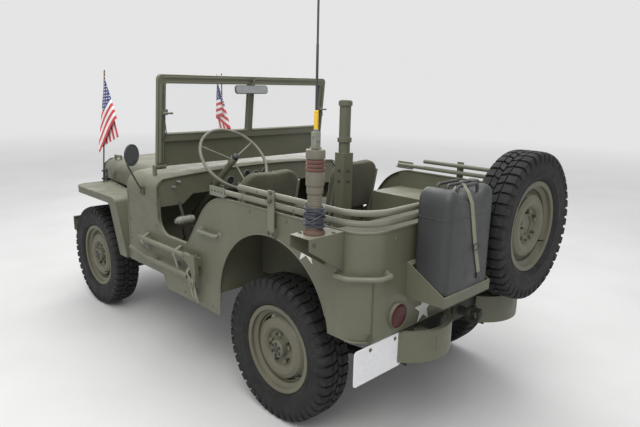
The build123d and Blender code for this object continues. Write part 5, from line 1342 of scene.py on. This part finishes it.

# Folded bows: end plates with holes, the holes drawn as dark discs of painted shade, and bracket
# bolts; handle feet; shelf, carrier and post bolts
parts, hole_shade_discs, bolts = Parts(), Parts(), Parts()
for side in (1, -1):
    y = side * 0.748
    parts.box(at(0.29, y - 0.0165, 1.086), at(0.418, y + 0.0165, 1.094))
    parts.box(at(0.3, min(y + side * 0.0135, y + side * 0.0175), 1.078),
        at(0.424, max(y + side * 0.0135, y + side * 0.0175), 1.126))
    # The holes in the end plates and bow ends are dark discs: painted shade where the holes are.
    for k in range(4):
        hole_shade_discs.lathe(mm((0, 0.6), (5.5, 0.6), (5.8, 0)), (REAR + 0.322 + k * 0.028,
            y + side * 0.0176, 1.103), (0, side, 0), 14)
    for x, z in ((0.05, 1.1465), (-0.28, 1.1465), (0.16, 1.1035), (-0.2, 1.1035)):
        hole_shade_discs.lathe(mm((0, 1), (4.2, 0.8), (5, -2)), (REAR + x, side * 0.7605, z), (0, side, 0), 12)
    for x, z in ((REAR - 0.074, 0.975), (REAR - 0.046, 0.975), (REAR - 0.06, 1.16)):
        bolts.bolt((x, side * 0.77, z), (0, side, 0), 0.012, 0.006)
    knob = at(-0.06, side * 0.77, 1.125)
    bolts.lathe(mm((0, 16), (8, 15.5), (12, 13), (12, 8), (6, 6), (6, 0)), knob, (0, side, 0), 18)
    for x, z in ((REAR + 0.53, 0.87), (REAR + 0.37, 0.87), (REAR - 0.46, 0.888)):
        parts.lathe(mm((0, 3.5), (16, 3.5), (19, 1.8), (19, 0)), (x, side * 0.75, z), (0, side, 0),
            24)
    parts.lathe(mm((0, 3.5), (16, 3.5), (19, 1.8), (19, 0)), (TUB_REAR, side * 0.605, 0.888), BACK,
        24)
    for y2 in (0.318 - 0.15, 0.318 + 0.15):
        bolts.bolt((REAR - 0.575 - 0.016, side * y2, 0.59), BACK, 0.014, 0.007)
for x, y in ((REAR - 0.395, 0.9), (REAR - 0.395, 0.8), (REAR - 0.478, 0.8)):
    bolts.bolt((x, y, MAST.z), UP, 0.01, 0.005)
bolts.bolt(at(-0.4905, 0.915, 1.046), BACK, 0.01, 0.005)
for a in (45, 135, 225, 315):
    spot = vec(REAR + 0.224 + 0.145 * cos(radians(a)), 0.145 * sin(radians(a)), 0.623)
    bolts.bolt(spot, UP, 0.018, 0.009)
for z in (0.8, 0.86, 1.1, 1.16):
    bolts.bolt((REAR + 0.224 - 0.036, 0, z), BACK, 0.014, 0.007)
    bolts.bolt(at(0.224, 0.036, z), (0, 1, 0), 0.014, 0.007)
parts.make("bow_plates", tube_paint, 35, 0.0008, 1)
hole_shade_discs.make("bow_hole_shade_discs", black_bakelite, 30)
bolts.make("fixing_bolts", olive_dark, 30)

# Steering wheel hub: horn button
hub = at(0.788, 0.348, 1.186)
back = vec(-cos(radians(42.5)), 0, sin(radians(42.5)))
lathe("horn_button", mm((0, 34), (12, 32.5), (18, 29), (20, 24), (20, 10)), hub, back,
    black_bakelite, 32, body="hand_wheel")


# Engine bay: what stands on the block, and the radiator with its hoses
engine_grey = paint("engine_grey", (0.06, 0.066, 0.05), (0.15, 0.15, 0.115), rough=0.5, edge=0.0)
block_x = (REAR + 1.42, REAR + 1.95)
parts = Parts([box_parts((block_x[0] + 0.012, -0.1, 0.957), (block_x[1] - 0.03, 0.112, 0.984)),
    box_parts((block_x[0] - 0.004, -0.172, 0.64), (block_x[1] + 0.003, 0.172, 0.652)),
    box_parts((block_x[0] - 0.004, -0.17, 0.93), (block_x[1] + 0.003, 0.17, 0.94)),
    box_parts((block_x[1] - 0.002, -0.11, 0.66), (block_x[1] + 0.012, 0.11, 0.9))])
for k in range(5):
    x = block_x[0] + 0.045 + k * 0.11
    parts.box((x - 0.006, -0.171, 0.655), (x + 0.006, 0.171, 0.925))
for side in (1, -1):
    for k in range(4):
        parts.lathe(mm((0, 3), (19, 3), (22, 6), (24, 5), (24, 0)),
            (block_x[0] + 0.1 + k * 0.11, side * 0.165, 0.86), (0, side, 0), 24)
dynamo = vec(block_x[0] + 0.33, 0.222, 0.76)
parts.lathe(mm((0, 105), (46, 105), (52, 95), (52, -95), (44, -105), (0, -105)), dynamo, AHEAD, 32)
parts.box(dynamo + vec(-0.05, -0.06, -0.012), dynamo + vec(0.05, 0, 0.012))
spot = vec(block_x[0] + 0.115, -0.245, 0.87)
parts.lathe(mm((0, 85), (40, 83), (62, 70), (66, 55), (66, 10), (70, 6), (70, -70), (60, -80),
    (0, -82)), spot, UP, 36)
parts.make("engine_head", engine_grey, 35, 0.0016)

parts = Parts()
for k in range(7):
    for y in (-0.085, 0.006, 0.097):
        parts.bolt((block_x[0] + 0.036 + k * 0.075, y, 0.984), UP, 0.014, 0.01)
for k in range(4):
    parts.lathe(mm((0, 50), (3.5, 49), (4.2, 34), (6.5, 30), (7.5, 12), (11, 10), (11, 0)),
        (block_x[0] + 0.08 + k * 0.112, 0.05, 0.984), UP, 16)
fan = vec(block_x[1] + 0.05, 0, 0.79)
parts.lathe(mm((0, 22), (30, 20), (34, 4), (58, 2), (60, -4), (50, -10), (60, -16), (58, -22),
    (26, -24), (26, -50)), fan, AHEAD, 36)
for k in range(4):
    a = radians(20 + 90 * k)
    out, way = vec(0, cos(a), sin(a)), vec(0.45, -sin(a) * 0.9, cos(a) * 0.9).normalized()
    parts.slab(mm((28, -20), (180, -34), (188, 0), (180, 34), (28, 20)), fan + vec(0.016, 0, 0),
        out, way, 0.0022)
parts.make("engine_fittings", bare_steel)

parts = Parts()
main = rounded([(block_x[0] + 0.05, -0.212, 0.905), (block_x[0] + 0.47, -0.212, 0.905),
    (block_x[0] + 0.475, -0.214, 0.72)], 0.05, 8)
parts.tube(main, 0.023, 18)
for k in range(4):
    x = block_x[0] + 0.075 + k * 0.118
    parts.tube([vec(x, -0.166, 0.892), vec(x, -0.19, 0.897), vec(x, -0.214, 0.905)], 0.0185, 14)
    parts.box((x - 0.03, -0.172, 0.868), (x + 0.03, -0.164, 0.916))
parts.make("manifold", rusty, 40)

parts = Parts()
cap = vec(block_x[0] + 0.25, 0.15, 0.962)
parts.lathe(mm((0, 58), (12, 56), (16, 44), (34, 38), (38, 20), (38, 0)), cap, UP, 28)
for k in range(4):
    plug = vec(block_x[0] + 0.08 + k * 0.112, 0.05, 1.032)
    a = radians(60 + 80 * k)
    post = cap + vec(0.024 * cos(a), 0.024 * sin(a), 0.04)
    lead = rounded([tuple(plug), tuple(plug + vec(0, 0.02, 0.016)), tuple(post + vec(0, 0, 0.034)),
        tuple(post)], 0.02, 6)
    parts.tube(lead, 0.0036, 8)
belt = []
for centre, first, last in ((vec(0, 0, 0.79), 130, 325), (vec(0, 0.222, 0.76), -60, 115)):
    r = 0.056 if centre.y == 0.0 else 0.04
    belt += [vec(fan.x - 0.01, centre.y + r * cos(radians(first + (last - first) * k / 10)),
        centre.z + r * sin(radians(first + (last - first) * k / 10))) for k in range(11)]
parts.tube(belt + belt[:2], 0.005, 8, False)
parts.lathe(mm((0, 12), (42, 10), (36, 0), (42, -10), (12, -12), (12, -160)),
    (fan.x - 0.01, 0.222, 0.76), AHEAD, 28)
upper = rounded([(block_x[1] - 0.07, 0, 0.984), (block_x[1] - 0.062, 0, 1.006),
    (block_x[1] + 0.12, 0, 0.985), at(2.215, 0.06, 0.955)], 0.03, 8)
parts.tube(upper, 0.0185, 16)
lower = rounded([(block_x[1] + 0.006, 0.075, 0.69), (block_x[1] + 0.13, 0.085, 0.68),
    at(2.205, -0.06, 0.64)], 0.05, 8)
parts.tube(lower, 0.019, 16)
cleaner_pipe = rounded([(spot.x, spot.y, 0.95), (spot.x, spot.y, 0.985),
    (spot.x + 0.1, -0.17, 0.992), (spot.x + 0.13, -0.15, 0.96)], 0.03, 8)
parts.tube(cleaner_pipe, 0.019, 16)
parts.make("engine_hoses", black_steel, 40)

rad_x = (REAR + 2.196, REAR + 2.246)
parts = Parts([box_parts((rad_x[0] - 0.012, -0.252, 0.925), (rad_x[1] + 0.008, 0.252, 0.962)),
    box_parts((rad_x[0] - 0.008, -0.252, 0.6), (rad_x[1] + 0.006, 0.252, 0.632))])
for side in (1, -1):
    parts.box((rad_x[0], min(side * 0.246, side * 0.258), 0.605),
        (rad_x[1], max(side * 0.246, side * 0.258), 0.95))
parts.lathe(mm((0, 18), (16, 18), (19, 14), (19, 4), (14, 0)), at(2.22, -0.15, 0.962), UP, 24)
parts.make("radiator_frame", olive_dark, 35, 0.0016)
parts = Parts([box_parts((rad_x[0] + 0.008, -0.246, 0.632), (rad_x[1] - 0.008, 0.246, 0.925))])
for k in range(61):
    y = -0.243 + k * 0.0081
    parts.box((rad_x[0] + 0.004, y - 0.0009, 0.632), (rad_x[1] - 0.004, y + 0.0009, 0.925))
parts.make("radiator_core", chassis_black, 30)
